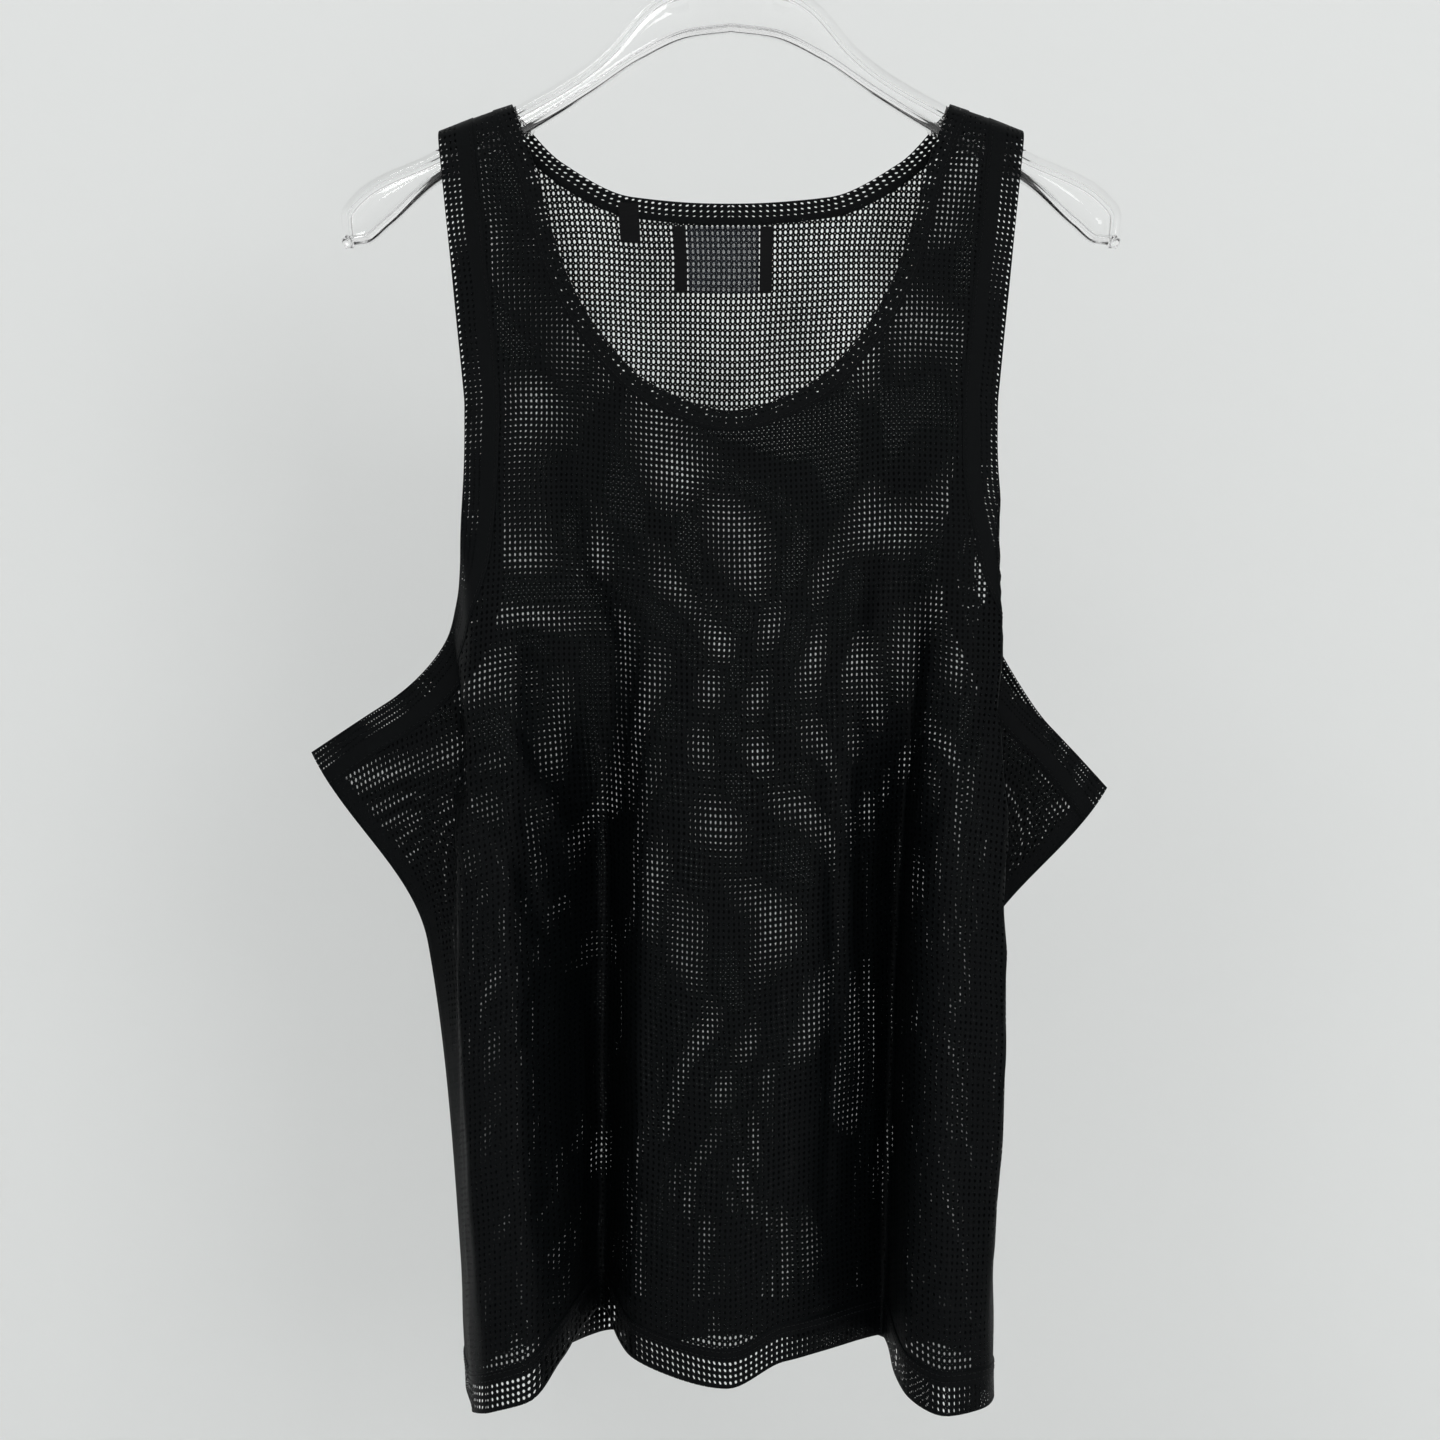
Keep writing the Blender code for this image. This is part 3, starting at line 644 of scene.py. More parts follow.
FRONT_CREASES = (
    Crease((-118, 110), (-62, 330), 9, -3.0, 8), Crease((113, 120), (60, 350), 10, -3.2, -10),
    Crease((-176, 262), (-118, 440), 10, 3.6, 10), Crease((-208, 300), (-150, 480), 8, -3.0, 8),
    Crease((-236, 325), (-196, 450), 7, 2.2, -6), Crease((172, 258), (150, 430), 9, -3.0, -6),
    Crease((206, 300), (182, 530), 8, 2.6, -8), Crease((240, 325), (214, 450), 7, -2.0, 6),
    Crease((30, 240), (36, 610), 6, 2.0, 5), Crease((52, 300), (60, 650), 5.5, -1.9, -6),
    Crease((72, 225), (84, 570), 6.5, 2.2, 6), Crease((94, 370), (99, 645), 6, 1.8, -3),
    Crease((14, 420), (10, 660), 8, -1.7, 4), Crease((-14, 200), (-42, 430), 12, 2.6, -10),
    Crease((-46, 420), (-18, 650), 11, -2.5, 9), Crease((-74, 240), (-94, 480), 9, 2.2, 6),
    Crease((-212, 470), (-166, 481), 5, 1.6, 3), Crease((-206, 506), (-160, 513), 5, -1.5, -2),
    Crease((-216, 546), (-164, 557), 6, 1.6, 3), Crease((-202, 592), (-156, 597), 5, -1.3, 2),
    Crease((214, 400), (236, 610), 7, 2.2, 5), Crease((190, 430), (204, 640), 6, -2.0, -4),
    Crease((-98, 214), (-20, 252), 8, 1.8, 6), Crease((22, 240), (94, 208), 8, 1.6, 6),
    Crease((-250, 420), (-244, 640), 6, 1.6, 4), Crease((-132, 480), (-140, 655), 6, 2.0, -4),
)
BACK_CREASES = (
    Crease((-112, 120), (-70, 320), 9, -2.8, 8), Crease((110, 130), (66, 340), 10, -2.6, -8),
    Crease((-178, 262), (-126, 450), 9, 3.2, 9), Crease((-212, 305), (-168, 500), 8, -2.6, 8),
    Crease((176, 262), (140, 440), 9, 3.0, -8), Crease((208, 300), (190, 520), 8, -2.4, -6),
    Crease((-60, 90), (-24, 260), 11, -2.0, 8), Crease((52, 96), (30, 300), 10, 2.0, -6),
    Crease((-30, 280), (-24, 600), 7, 2.0, 5), Crease((18, 330), (26, 640), 6, -2.0, -5),
    Crease((58, 260), (50, 560), 7, 2.2, 5), Crease((-72, 400), (-80, 650), 6, -1.8, -4),
    Crease((-236, 420), (-228, 640), 7, 2.0, 5), Crease((232, 410), (226, 620), 7, 1.8, -5),
    Crease((150, 500), (196, 512), 5, 1.5, 3), Crease((146, 560), (190, 556), 5, -1.4, -3),
    Crease((-200, 520), (-150, 534), 6, 1.6, 3), Crease((-96, 220), (-10, 236), 9, 1.5, 6),
)

HALF_CUT = 280.0
CUT_LENGTH = 685.0
LEVELS = (0.0, 165.0, 250.0, 310.0, 430.0, CUT_LENGTH)
SHOULDER_FALL = 9.0
SHOULDER_INNER, SHOULDER_OUTER = 107.0, 150.0
SLACK_ACROSS = (Ripple(0.4, 61, 23), Ripple(0.24, -37, 9.7, 2))
SLACK_DOWN = (Ripple(0.4, 19, -71), Ripple(0.24, 11.3, 43, 1))
WANDER_ACROSS = (Ripple(0.6, 52, 34, 1), Ripple(0.4, -29, 58, 2))
WANDER_DOWN = (Ripple(0.6, 31, -47, 1), Ripple(0.4, 55, 38, 1.5))
WRINKLES = (Ripple(0.4, 7.3, 31), Ripple(1.0, -43, 11.7))
SWELL = Ripple(0.3, 17.1, 28.5, 1.3)


def shoulder_line(across: Array) -> Array:
    """Distance down of the shoulder seam on the flat cloth."""
    return SHOULDER_FALL * ramp(np.abs(across), SHOULDER_INNER, SHOULDER_OUTER)


@dataclass(frozen=True)
class Gathering:
    """How the knit closes up over a panel.

    Each share is added to the factor that shrinks the holes, and each pair of distances, in mm,
    says where the cloth is not gathered yet and where it is fully so. At the sides below the arms
    the holes are closed partly for the extra layers of the folds there and partly as painted shade.
    """

    narrow_from: float
    narrow_run: float = 130.0
    weight: float = 0.17
    lower: Pair = (400.0, 600.0)
    strap: float = 0.11
    strap_top: Pair = (20.0, 60.0)
    strap_foot: Pair = (230.0, 140.0)
    strap_inner: Pair = (70.0, 90.0)
    # Sides below the arms: holes closed partly for the folds' extra layers, partly as painted
    # shade.
    slack_and_shade: float = 0.12
    slack_and_shade_top: Pair = (330.0, 420.0)
    slack_and_shade_inner: Pair = (112.0, 134.0)
    slack_and_shade_outer: Pair = (246.0, 232.0)
    seam: float = 1.3
    seam_edges: Pair = (HALF_CUT - 9.5, HALF_CUT - 7.5)
    uneven: tuple[Ripple, Ripple] = (Ripple(0.05, 13, 57), Ripple(1.0, -45, 21))

    def at(self, flat: Array) -> Array:
        """What each flat point adds to the factor that shrinks the holes.

        Args:
            flat: flat points.

        Returns:
            One value for each point.
        """
        across, down = np.abs(flat[:, 0]), flat[:, 1]
        hanging = ramp(down, self.narrow_from, self.narrow_from + self.narrow_run)
        total = self.weight * (hanging + ramp(down, *self.lower) / 2)
        total += self.strap * (ramp(down, *self.strap_top) * ramp(down, *self.strap_foot)
                               * ramp(across, *self.strap_inner))
        # Painted shade in part: darkens the sides below the arms, where the folds also add layers.
        total += self.slack_and_shade * (ramp(down, *self.slack_and_shade_top) * ramp(across, *self.slack_and_shade_inner)
                               * ramp(across, *self.slack_and_shade_outer))
        total += self.uneven[0].at(flat) * self.uneven[1].at(flat)
        return total + self.seam * ramp(across, *self.seam_edges)


@dataclass
class HangingPanel:
    """Front or back surface as it hangs: flat points in, places out, all in mm."""

    side: Side
    folds: dict[str, Fold]
    creases: tuple[Crease, ...]
    gathering: Gathering
    wander: float
    shoulder_top: float = -158.0
    strap_lean: float = 18.0
    strap_lean_end: float = 165.0
    strap_lean_reach: float = 84.0
    shoulder_slope: float = 0.158
    shoulder_slope_start: float = 106.0
    strap_spread: float = 16.0
    ridge_reach: float = 4.0
    seam_half_gap: float = 0.15
    seam_reach: float = 30.0
    steep_opening: float = 0.92
    steepness: Pair = (0.35, 1.1)
    opening_end: float = 240.0
    wander_top: Pair = (20.0, 80.0)
    wander_foot: Pair = (650.0, 590.0)
    wander_side: Pair = (185.0, 150.0)
    crease_taper: float = 0.7
    lattice_step: float = 2.5
    section_points: int = 600

    def __post_init__(self) -> None:
        """Work out the lattice of places from the fold lines."""
        table = np.array([list(fold) for fold in self.folds.values()], float).transpose(1, 0, 2)
        shoulder = table[0].copy()
        shoulder[:, 1] = self.side.value * self.strap_spread
        out = np.abs(shoulder[:, 0]) - self.shoulder_slope_start
        shoulder[:, 2] = self.shoulder_slope * np.maximum(out, 0)
        depths = np.arange(0.0, CUT_LENGTH + self.lattice_step, self.lattice_step)
        sections = smooth_through(LEVELS, np.concatenate([shoulder[None], table]),
                                  np.minimum(depths, CUT_LENGTH))
        self.lattice = np.array([self.resampled(section) for section in sections])
        self.knit_lattice = self.opened_columns()

    def opened_columns(self) -> Array:
        """Distance across the knit at each lattice point, with steep cloth pulled open sideways.

        Returns:
            One value for each lattice point.
        """
        rows, columns = self.lattice.shape[:2]
        across = np.linspace(-HALF_CUT, HALF_CUT, columns)
        down = np.arange(rows) * self.lattice_step
        flat = np.stack(np.meshgrid(across, down), axis=-1).reshape(-1, 2)
        places = self.drape(flat)[:, 0].reshape(rows, columns)
        level = np.clip(np.gradient(places, across, axis=1), *self.steepness)
        opened = self.steep_opening * ramp(np.abs(across), self.opening_end,
                                           self.opening_end - self.seam_reach)
        step = 1 - opened * (1 - level)
        total = np.cumsum((step[:, 1:] + step[:, :-1]) / 2, axis=1) * self.lattice_step
        total = np.concatenate([np.zeros((rows, 1)), total], axis=1)
        return (total - total[:, [columns // 2]])[..., None]

    def knit(self, flat: Array) -> Array:
        """Distances over the knit at flat points, across and down.

        Args:
            flat: flat points.

        Returns:
            One row for each point, in mm.
        """
        straight = np.stack([self.read(self.knit_lattice, flat)[:, 0], flat[:, 1]], axis=1)
        across, down = np.abs(flat[:, 0]), flat[:, 1]
        loose = (ramp(down, *self.wander_top) * ramp(down, *self.wander_foot)
                 * ramp(across, *self.wander_side))
        return straight + drifted(WANDER_ACROSS, WANDER_DOWN, flat, self.wander) * loose[:, None]

    def resampled(self, section: Array) -> Array:
        """Even steps across the flat cloth, from one level's fold points.

        Args:
            section: x, y and extra fall of each fold line at the level.

        Returns:
            The same at every lattice step from the left seam to the right one.
        """
        knots = running_length(section)
        steps = np.linspace(0, knots[-1], self.section_points)
        line = smooth_through(knots, section, steps)
        length = running_length(line)
        centre = np.interp(knots[list(self.folds).index("mid")], steps, length)
        left, right = (length - centre) / centre, (length - centre) / (length[-1] - centre)
        across = np.where(length < centre, left, right) * HALF_CUT
        wanted = np.arange(-HALF_CUT, HALF_CUT + self.lattice_step / 2, self.lattice_step)
        return np.stack([np.interp(wanted, across, line[:, axis]) for axis in range(3)], axis=1)

    def read(self, lattice: Array, flat: Array) -> Array:
        """Values between the points of a lattice over the flat panel.

        Args:
            lattice: rows down, columns across and the values at each.
            flat: flat points.

        Returns:
            One row of values for each point.
        """
        rows, columns = lattice.shape[:2]
        column = np.clip((flat[:, 0] + HALF_CUT) / self.lattice_step, 0, columns - 1.001)
        row = np.clip(flat[:, 1] / self.lattice_step, 0, rows - 1.001)
        left, top = column.astype(int), row.astype(int)
        right, low = (column - left)[:, None], (row - top)[:, None]
        upper, lower = (lattice[line, left] * (1 - right) + lattice[line, left + 1] * right
                        for line in (top, top + 1))
        return upper * (1 - low) + lower * low

    def uncreased(self, flat: Array) -> Array:
        """Places of flat points on the cloth before its creases.

        Args:
            flat: flat points.

        Returns:
            One place for each point.
        """
        across, down = flat.T
        x, y, fall = self.read(self.lattice, flat).T
        lean = self.strap_lean * ramp(down, self.strap_lean_end, 0)
        x = x + lean * np.clip(across / self.strap_lean_reach, -1, 1)
        ridge = self.ridge_share(flat)
        seam = ramp(np.abs(across), HALF_CUT - self.seam_reach, HALF_CUT)
        y = y * (1 - ridge) + self.side.value * self.seam_half_gap * np.maximum(ridge, seam)
        return np.stack([x, y, self.shoulder_top - down - fall], axis=1)

    def ridge_share(self, flat: Array) -> Array:
        """One on the shoulder seam, where the cloth bends over the hanger, fading below it."""
        return np.exp(-np.maximum(flat[:, 1] - shoulder_line(flat[:, 0]), 0) / self.ridge_reach)

    def relief(self, flat: Array) -> Array:
        """Height of the creases and of the loose knit's small waves, outwards.

        Args:
            flat: flat points.

        Returns:
            One height for each point.
        """
        across, down = flat.T
        height = WRINKLES[0].at(flat) * WRINKLES[1].at(flat) + SWELL.at(flat)
        for crease in self.creases:
            start, end = np.array(crease.start, float), np.array(crease.end, float)
            length = np.linalg.norm(end - start)
            along = (end - start) / length
            share = np.clip((flat - start) @ along / length, 0, 1)
            off = (flat - start) @ np.array([-along[1], along[0]])
            off -= crease.bow * 4 * share * (1 - share)
            taper = np.sin(math.pi * share) ** self.crease_taper
            height += crease.height * np.exp(-(off / crease.half_width) ** 2) * taper
        near_seam = ramp(np.abs(across), HALF_CUT, HALF_CUT - self.seam_reach)
        below_ridge = ramp(down - shoulder_line(across), 0, self.seam_reach)
        return height * near_seam * below_ridge

    def outward(self, surface: Callable[[Array], Array], flat: Array, step: float = 1.0) -> Array:
        """Unit normals of a surface, towards the outside of the top.

        Args:
            surface: function from flat points to places.
            flat: flat points.
            step: distance between the places compared.

        Returns:
            One normal for each point.
        """
        across, down = np.array([step, 0.0]), np.array([0.0, step])
        along = surface(flat + across) - surface(flat - across)
        below = surface(flat + down) - surface(flat - down)
        normal = -np.cross(below, along) * self.side.value
        return normal / np.maximum(np.linalg.norm(normal, axis=1), 1e-9)[:, None]

    def drape(self, flat: Array) -> Array:
        """Places of flat points on the hanging, creased cloth."""
        height = self.relief(flat)[:, None]
        return self.uncreased(flat) + height * self.outward(self.uncreased, flat)

    def laid(self, flat: Array) -> Laid:
        """Places, knit distances and gathers of flat points."""
        return self.drape(flat), self.knit(flat), self.gathering.at(flat)

    def lifted(self, flat: Array, height: float) -> Array:
        """Places moved off the hanging cloth, outwards when height is positive."""
        return self.drape(flat) + height * self.outward(self.drape, flat)


@dataclass
class CutEdge:
    """A cut edge on the flat half panel, with the direction that leads over the cloth from it."""

    rows: tuple[Pair, ...]
    start_inward: Pair
    end_inward: Pair
    end_row: int = -1
    end_blend: float = 14.0
    samples: int = 300

    def __post_init__(self) -> None:
        """Smooth the edge and turn its inward directions to the seams at both ends."""
        rows = np.array(self.rows, float)
        knots = running_length(rows)
        self.length = np.linspace(0, knots[self.end_row], self.samples)
        self.points = smooth_through(knots, rows, self.length)
        along = np.gradient(self.points, axis=0)
        inward = np.stack([-along[:, 1], along[:, 0]], axis=1)
        inward /= np.linalg.norm(inward, axis=1)[:, None]
        if inward[0] @ np.array(self.start_inward) < 0:
            inward = -inward
        for end, direction in ((0.0, self.start_inward), (knots[self.end_row], self.end_inward)):
            share = np.clip(1 - np.abs(self.length - end) / self.end_blend, 0, 1)[:, None]
            inward = inward * (1 - share) + np.array(direction) * share
        self.inward = inward

    def at(self, share: Array, width: Array | float) -> Array:
        """Flat points at shares of the edge's length, moved in over the cloth by a width.

        Args:
            share: shares of its length.
            width: distance moved in over the cloth.

        Returns:
            One value for each point.
        """
        wanted = np.asarray(share) * self.length[-1]
        point = [np.interp(wanted, self.length, self.points[:, k]) for k in range(2)]
        inward = [np.interp(wanted, self.length, self.inward[:, k]) for k in range(2)]
        return np.stack(point, axis=1) + np.stack(inward, axis=1) * np.reshape(width, (-1, 1))

    def along(self, share: Array) -> Array:
        """Length along the edge at shares of it."""
        return np.asarray(share) * self.length[-1]


class Sheet(NamedTuple):
    """A grid of cloth: columns, rows and the function that gives its places, knit and gathers."""

    columns: int
    rows: int
    place: Place


def add_sheet(sewn: bmesh.types.BMesh, sheet: Sheet) -> None:
    """Add a grid of cloth to a mesh that is being sewn together.

    Args:
        sewn: mesh with the UV layer of flat distances.
        sheet: the grid, whose shares run from nought to one both ways.
    """
    made = bmesh.ops.create_grid(sewn, x_segments=sheet.columns, y_segments=sheet.rows,
                                 size=1.0)["verts"]
    share = np.array([vert.co[:2] for vert in made]) / 2 + 0.5
    places, knit, gathered = sheet.place(share[:, 0], share[:, 1])
    knit = knit + drifted(SLACK_ACROSS, SLACK_DOWN, knit)
    cut = {}
    gather_layer = sewn.verts.layers.float[GATHER_MAP]
    for vert, place, point, closer in zip(made, places, knit, gathered):
        vert.co = Vector(place) * MM
        vert[gather_layer] = closer
        cut[vert] = Vector(point) * MM
    layer = sewn.loops.layers.uv[CUT_MAP]
    for face in {face for vert in made for face in vert.link_faces}:
        for loop in face.loops:
            loop[layer].uv = cut[loop.vert]


@dataclass
class ClothPiece:
    """One cut and sewn piece: its sheets, wall, finish and what it stands for."""

    name: str
    sheets: list[Sheet]
    finish: Finish
    slot: str
    wall: float
    edge_rounding: float = 0.0
    weld: float = 0.02

    def build(self) -> Piece:
        """Sew the sheets, give them a wall and dress them.

        Returns:
            The finished object, riding on the body.
        """
        sewn = bmesh.new()
        sewn.loops.layers.uv.new(CUT_MAP)
        sewn.verts.layers.float.new(GATHER_MAP)
        for sheet in self.sheets:
            add_sheet(sewn, sheet)
        bmesh.ops.remove_doubles(sewn, verts=sewn.verts, dist=self.weld * MM)
        bmesh.ops.recalc_face_normals(sewn, faces=sewn.faces)
        piece = as_object(f"{self.name}_cloth", sewn, self.finish, self.slot)
        wall = piece.modifiers.new("Wall", "SOLIDIFY")
        wall.thickness, wall.offset = self.wall * MM, 0.0
        if self.edge_rounding:
            rounding = piece.modifiers.new("Rounded edge", "BEVEL")
            rounding.width, rounding.segments = self.edge_rounding * MM, 2
            rounding.limit_method, rounding.angle_limit = "ANGLE", SHARP
        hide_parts(self.name)
        return piece


def as_object(name: str, shape: bmesh.types.BMesh, finish: Finish, slot: str) -> Piece:
    """Turn a finished bmesh into a smooth, dressed object on the body.

    Args:
        name: the object's name.
        shape: the mesh, in place; it is freed.
        finish: its material.
        slot: the record's material slot; not used.

    Returns:
        The object.
    """
    mesh = bpy.data.meshes.new(name)
    shape.to_mesh(mesh)
    shape.free()
    mesh.shade_smooth()
    mesh.materials.append(finish.make())
    piece = bpy.data.objects.new(name, mesh)
    bpy.context.scene.collection.objects.link(piece)
    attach(piece, BODY)
    LOG.info("%s: %d faces before its modifiers", name, len(mesh.polygons))
    return piece


@dataclass
class Stitching:
    """A row of lockstitches along a path on the cloth, as small lengths of thread."""

    name: str
    paths: list[Array]
    finish: Finish
    slot: str
    stitch: float = 3.0
    gap: float = 0.7
    thickness: float = 0.28

    def build(self) -> Piece:
        """Lay a short thread for each stitch.

        Returns:
            All the stitches as one object.
        """
        ball, thread = bmesh.new(), bmesh.new()
        bmesh.ops.create_uvsphere(ball, u_segments=6, v_segments=4, radius=1.0)
        one = bpy.data.meshes.new(f"{self.name}_one")
        for path in self.paths:
            for place in self.places(path):
                ball.to_mesh(one)
                one.transform(place)
                thread.from_mesh(one)
        ball.free()
        bpy.data.meshes.remove(one)
        return as_object(self.name, thread, self.finish, self.slot)

    def places(self, path: Array) -> Iterator[Matrix]:
        """Place, turn and size of each stitch along a path, for a ball of radius one.

        Args:
            path: points along the row.

        Returns:
            One matrix for each stitch.
        """
        count = max(int(running_length(path)[-1] / self.stitch), 1)
        ends = read_line(path, np.linspace(0, 1, count + 1))
        for start, end in zip(ends[:-1], ends[1:]):
            span = Vector(end - start)
            turn = span.to_track_quat("X", "Z").to_matrix()
            size = Matrix.Diagonal(((span.length - self.gap) / 2, self.thickness, self.thickness))
            yield Matrix.Translation(Vector(start + end) / 2 * MM) @ (turn @ size * MM).to_4x4()


# ---- The tank top ----

YARN = "#020405"
PANEL_KNIT = OpenKnit("warp-knitted polyester mesh", YARN, 0.6, 0.07, 1, (
    HeldBand(Along.DOWN, -4.0, 16.5, 0.9),))
NECK_KNIT = OpenKnit("doubled mesh neck binding", YARN, 0.58, 0.07, 2, (
    HeldBand(Along.ACROSS, -3.0, 7.2, -0.1), HeldBand(Along.ACROSS, 7.2, 13.0, 0.6)))
ARM_KNIT = OpenKnit("doubled mesh armhole binding", YARN, 0.58, 0.07, 2, (
    HeldBand(Along.ACROSS, -3.0, 11.6, -0.1), HeldBand(Along.ACROSS, 11.6, 24.0, 0.7)))
HEM_KNIT = OpenKnit("turned-up mesh hem", YARN, 0.58, 0.07, 2, (
    HeldBand(Along.DOWN, 662.0, 669.0, 0.9), HeldBand(Along.DOWN, 670.0, 684.0, -0.2),
    HeldBand(Along.DOWN, 684.2, 687.0, 0.4)))
LABEL_CLOTH = Organza("woven polyester organza", "#12171f", 0.5, 0.2)
LABEL_TAPE = RibbedTape("woven satin tape", "#020304", 0.5, 0.1)
THREAD = SpunThread("twisted polyester thread", "#030405", 0.5, 0.12)


@dataclass
class PanelCut:
    """Grid lines of a panel, its hem band and its bindings, which share their stations."""

    hanging: HangingPanel
    neck_rows: tuple[Pair, ...]
    armhole_rows: tuple[Pair, ...] = (
        (150, 9), (150, 90), (150, 170), (157, 250), (182, 288), (230, 307), (280, 310))
    neck_width: float = 11.5
    armhole_width: float = 20.0
    tuck: float = 4.0
    hem_height: float = 21.0
    hem_tuck: float = 3.0
    neck_corner: float = 84.0
    armhole_corner: float = 245.0
    neck_columns: int = 30
    strap_columns: int = 18
    wing_columns: int = 46
    body_rows: int = 184
    strap_rows: int = 60
    row_growth: float = 1.25
    hem_rows: int = 8
    samples: int = 600
    seam_start: float = 0.02
    seam_clear: float = 2.0
    seam_points: int = 240
    level_points: int = 500

    def __post_init__(self) -> None:
        """Find the stations along the neckline and the armhole, shoulder first."""
        self.bottom = CUT_LENGTH - self.hem_height + self.hem_tuck
        fall = SHOULDER_FALL / (SHOULDER_OUTER - SHOULDER_INNER)
        past_centre = (-self.neck_rows[-2][0], self.neck_rows[-2][1])
        self.neck = CutEdge((*self.neck_rows, past_centre), (1, fall), (0, 1), end_row=-2)
        self.armhole = CutEdge(self.armhole_rows, (-1, -fall), (0, 1))
        shares = np.linspace(0, 1, self.samples)
        neck = self.neck.at(shares, self.neck_width - self.tuck)
        armhole = self.armhole.at(shares, self.armhole_width - self.tuck)
        neck_share = np.interp(-self.neck_corner, -neck[:, 0], shares)
        armhole_share = np.interp(self.armhole_corner, armhole[:, 1], shares)
        self.neck_stations = self.stations(float(neck_share), self.neck_columns)
        self.armhole_stations = self.stations(float(armhole_share), self.wing_columns)
        self.neck_line = self.neck.at(self.neck_stations, self.neck_width - self.tuck)
        self.armhole_line = self.armhole.at(self.armhole_stations, self.armhole_width - self.tuck)
        corners = np.array((self.neck_line[self.strap_rows], self.armhole_line[self.strap_rows]))
        strap = read_line(corners, np.linspace(0, 1, self.strap_columns + 1))
        half = np.concatenate([self.neck_line[:self.strap_rows:-1], strap,
                               self.armhole_line[self.strap_rows + 1:]])
        self.columns = np.concatenate([half[:0:-1] * (-1, 1), half])

    def stations(self, corner: float, columns: int) -> Array:
        """Shares of an edge's length: along the strap to the grid's corner, and on to the end."""
        strap = corner * np.linspace(0, 1, self.strap_rows + 1) ** self.row_growth
        return np.concatenate([strap, np.linspace(corner, 1, columns + 1)[1:]])

    def column(self, share: Array) -> list[Array]:
        """Distances across and down where shares of the columns start."""
        places = np.arange(len(self.columns))
        return [np.interp(share * places[-1], places, self.columns[:, k]) for k in range(2)]

    def body(self, share_across: Array, share_down: Array) -> Laid:
        """Body of the panel, from the neck and armholes to inside the hem band."""
        across, top = self.column(share_across)
        return self.hanging.laid(np.stack([across, top + (self.bottom - top) * share_down], axis=1))

    def strap(self, sign: int) -> Sheet:
        """Strap between the two bindings, on the side that the sign gives.

        Args:
            sign: minus one for the left side and one for the right.

        Returns:
            The strap's sheet.
        """
        def place(share_across: Array, share_down: Array) -> Laid:
            """Read the strap's lines at its shares.

            Args:
                share_across: share of the width at each point.
                share_down: share of the height at each point.

            Returns:
                Places, knit distances and gathers.
            """
            row = np.rint(share_down * self.strap_rows).astype(int)
            inner, outer = self.neck_line[row], self.armhole_line[row]
            return self.hanging.laid((inner + (outer - inner) * share_across[:, None]) * (sign, 1))
        return Sheet(self.strap_columns, self.strap_rows, place)

    def panel_area(self) -> float:
        """Flat area of the panel without its hem, in square metres.

        Returns:
            The area.
        """
        body = np.trapz(self.bottom - self.columns[:, 1], self.columns[:, 0])
        rows = slice(0, self.strap_rows + 1)
        inner, outer = self.neck_line[rows], self.armhole_line[rows]
        strap = np.trapz(outer[:, 0] - inner[:, 0], (inner[:, 1] + outer[:, 1]) / 2)
        return float(body + 2 * strap) * MM**2

    def panel_sheets(self) -> list[Sheet]:
        """Sheets that are sewn into the panel."""
        body = Sheet(len(self.columns) - 1, self.body_rows, self.body)
        return [body, self.strap(-1), self.strap(1)]

    def hem_sheet(self) -> Sheet:
        """Turned-up band along the bottom edge.

        Returns:
            The band's sheet.
        """
        def place(share_across: Array, share_down: Array) -> Laid:
            """Read the hem's band at its shares.

            Args:
                share_across: share of the width at each point.
                share_down: share of the height at each point.

            Returns:
                Places, knit distances and gathers.
            """
            across, _ = self.column(share_across)
            flat = np.stack([across, CUT_LENGTH - self.hem_height * (1 - share_down)], axis=1)
            return self.hanging.drape(flat), self.hanging.knit(flat), np.zeros(len(flat))
        return Sheet(len(self.columns) - 1, self.hem_rows, place)

    def binding(self, edge: CutEdge, edge_stations: Array, width: float, sign: int,
                columns: int) -> Sheet:
        """Folded strip along an edge, whose flat points are measured from its fold.

        Args:
            edge: the neckline or the armhole.
            edge_stations: shares of its length where it has rows.
            width: the strip's finished width.
            sign: minus one for the left side.
            columns: columns across the strip.

        Returns:
            The strip's sheet.
        """
        def place(share_across: Array, share_along: Array) -> Laid:
            """Read the strip at its shares.

            Args:
                share_across: share of the width at each point.
                share_along: share of the strip's length at each point.

            Returns:
                Places, knit distances and gathers.
            """
            station = edge_stations[np.rint(share_along * (len(edge_stations) - 1)).astype(int)]
            flat = edge.at(station, width * share_across) * (sign, 1)
            strip = np.stack([width * share_across, edge.along(station)], axis=1)
            return self.hanging.drape(flat), strip, np.zeros(len(strip))
        return Sheet(columns, len(edge_stations) - 1, place)

    def seam_path(self, edge: CutEdge, width: float, sign: int, lift: float) -> Array:
        """Line along an edge at a width from it, on the outside of the cloth."""
        flat = edge.at(np.linspace(self.seam_start, 1, self.seam_points), width) * (sign, 1)
        return self.hanging.lifted(flat, lift)

    def level_path(self, down: float, lift: float) -> Array:
        """Line across the panel at one distance down, on the outside of the cloth.

        Args:
            down: distance down.
            lift: height over the cloth.

        Returns:
            Points along the line.
        """
        end = HALF_CUT - self.seam_clear
        across = np.linspace(-end, end, self.level_points)
        return self.hanging.lifted(np.stack([across, np.full_like(across, down)], axis=1), lift)


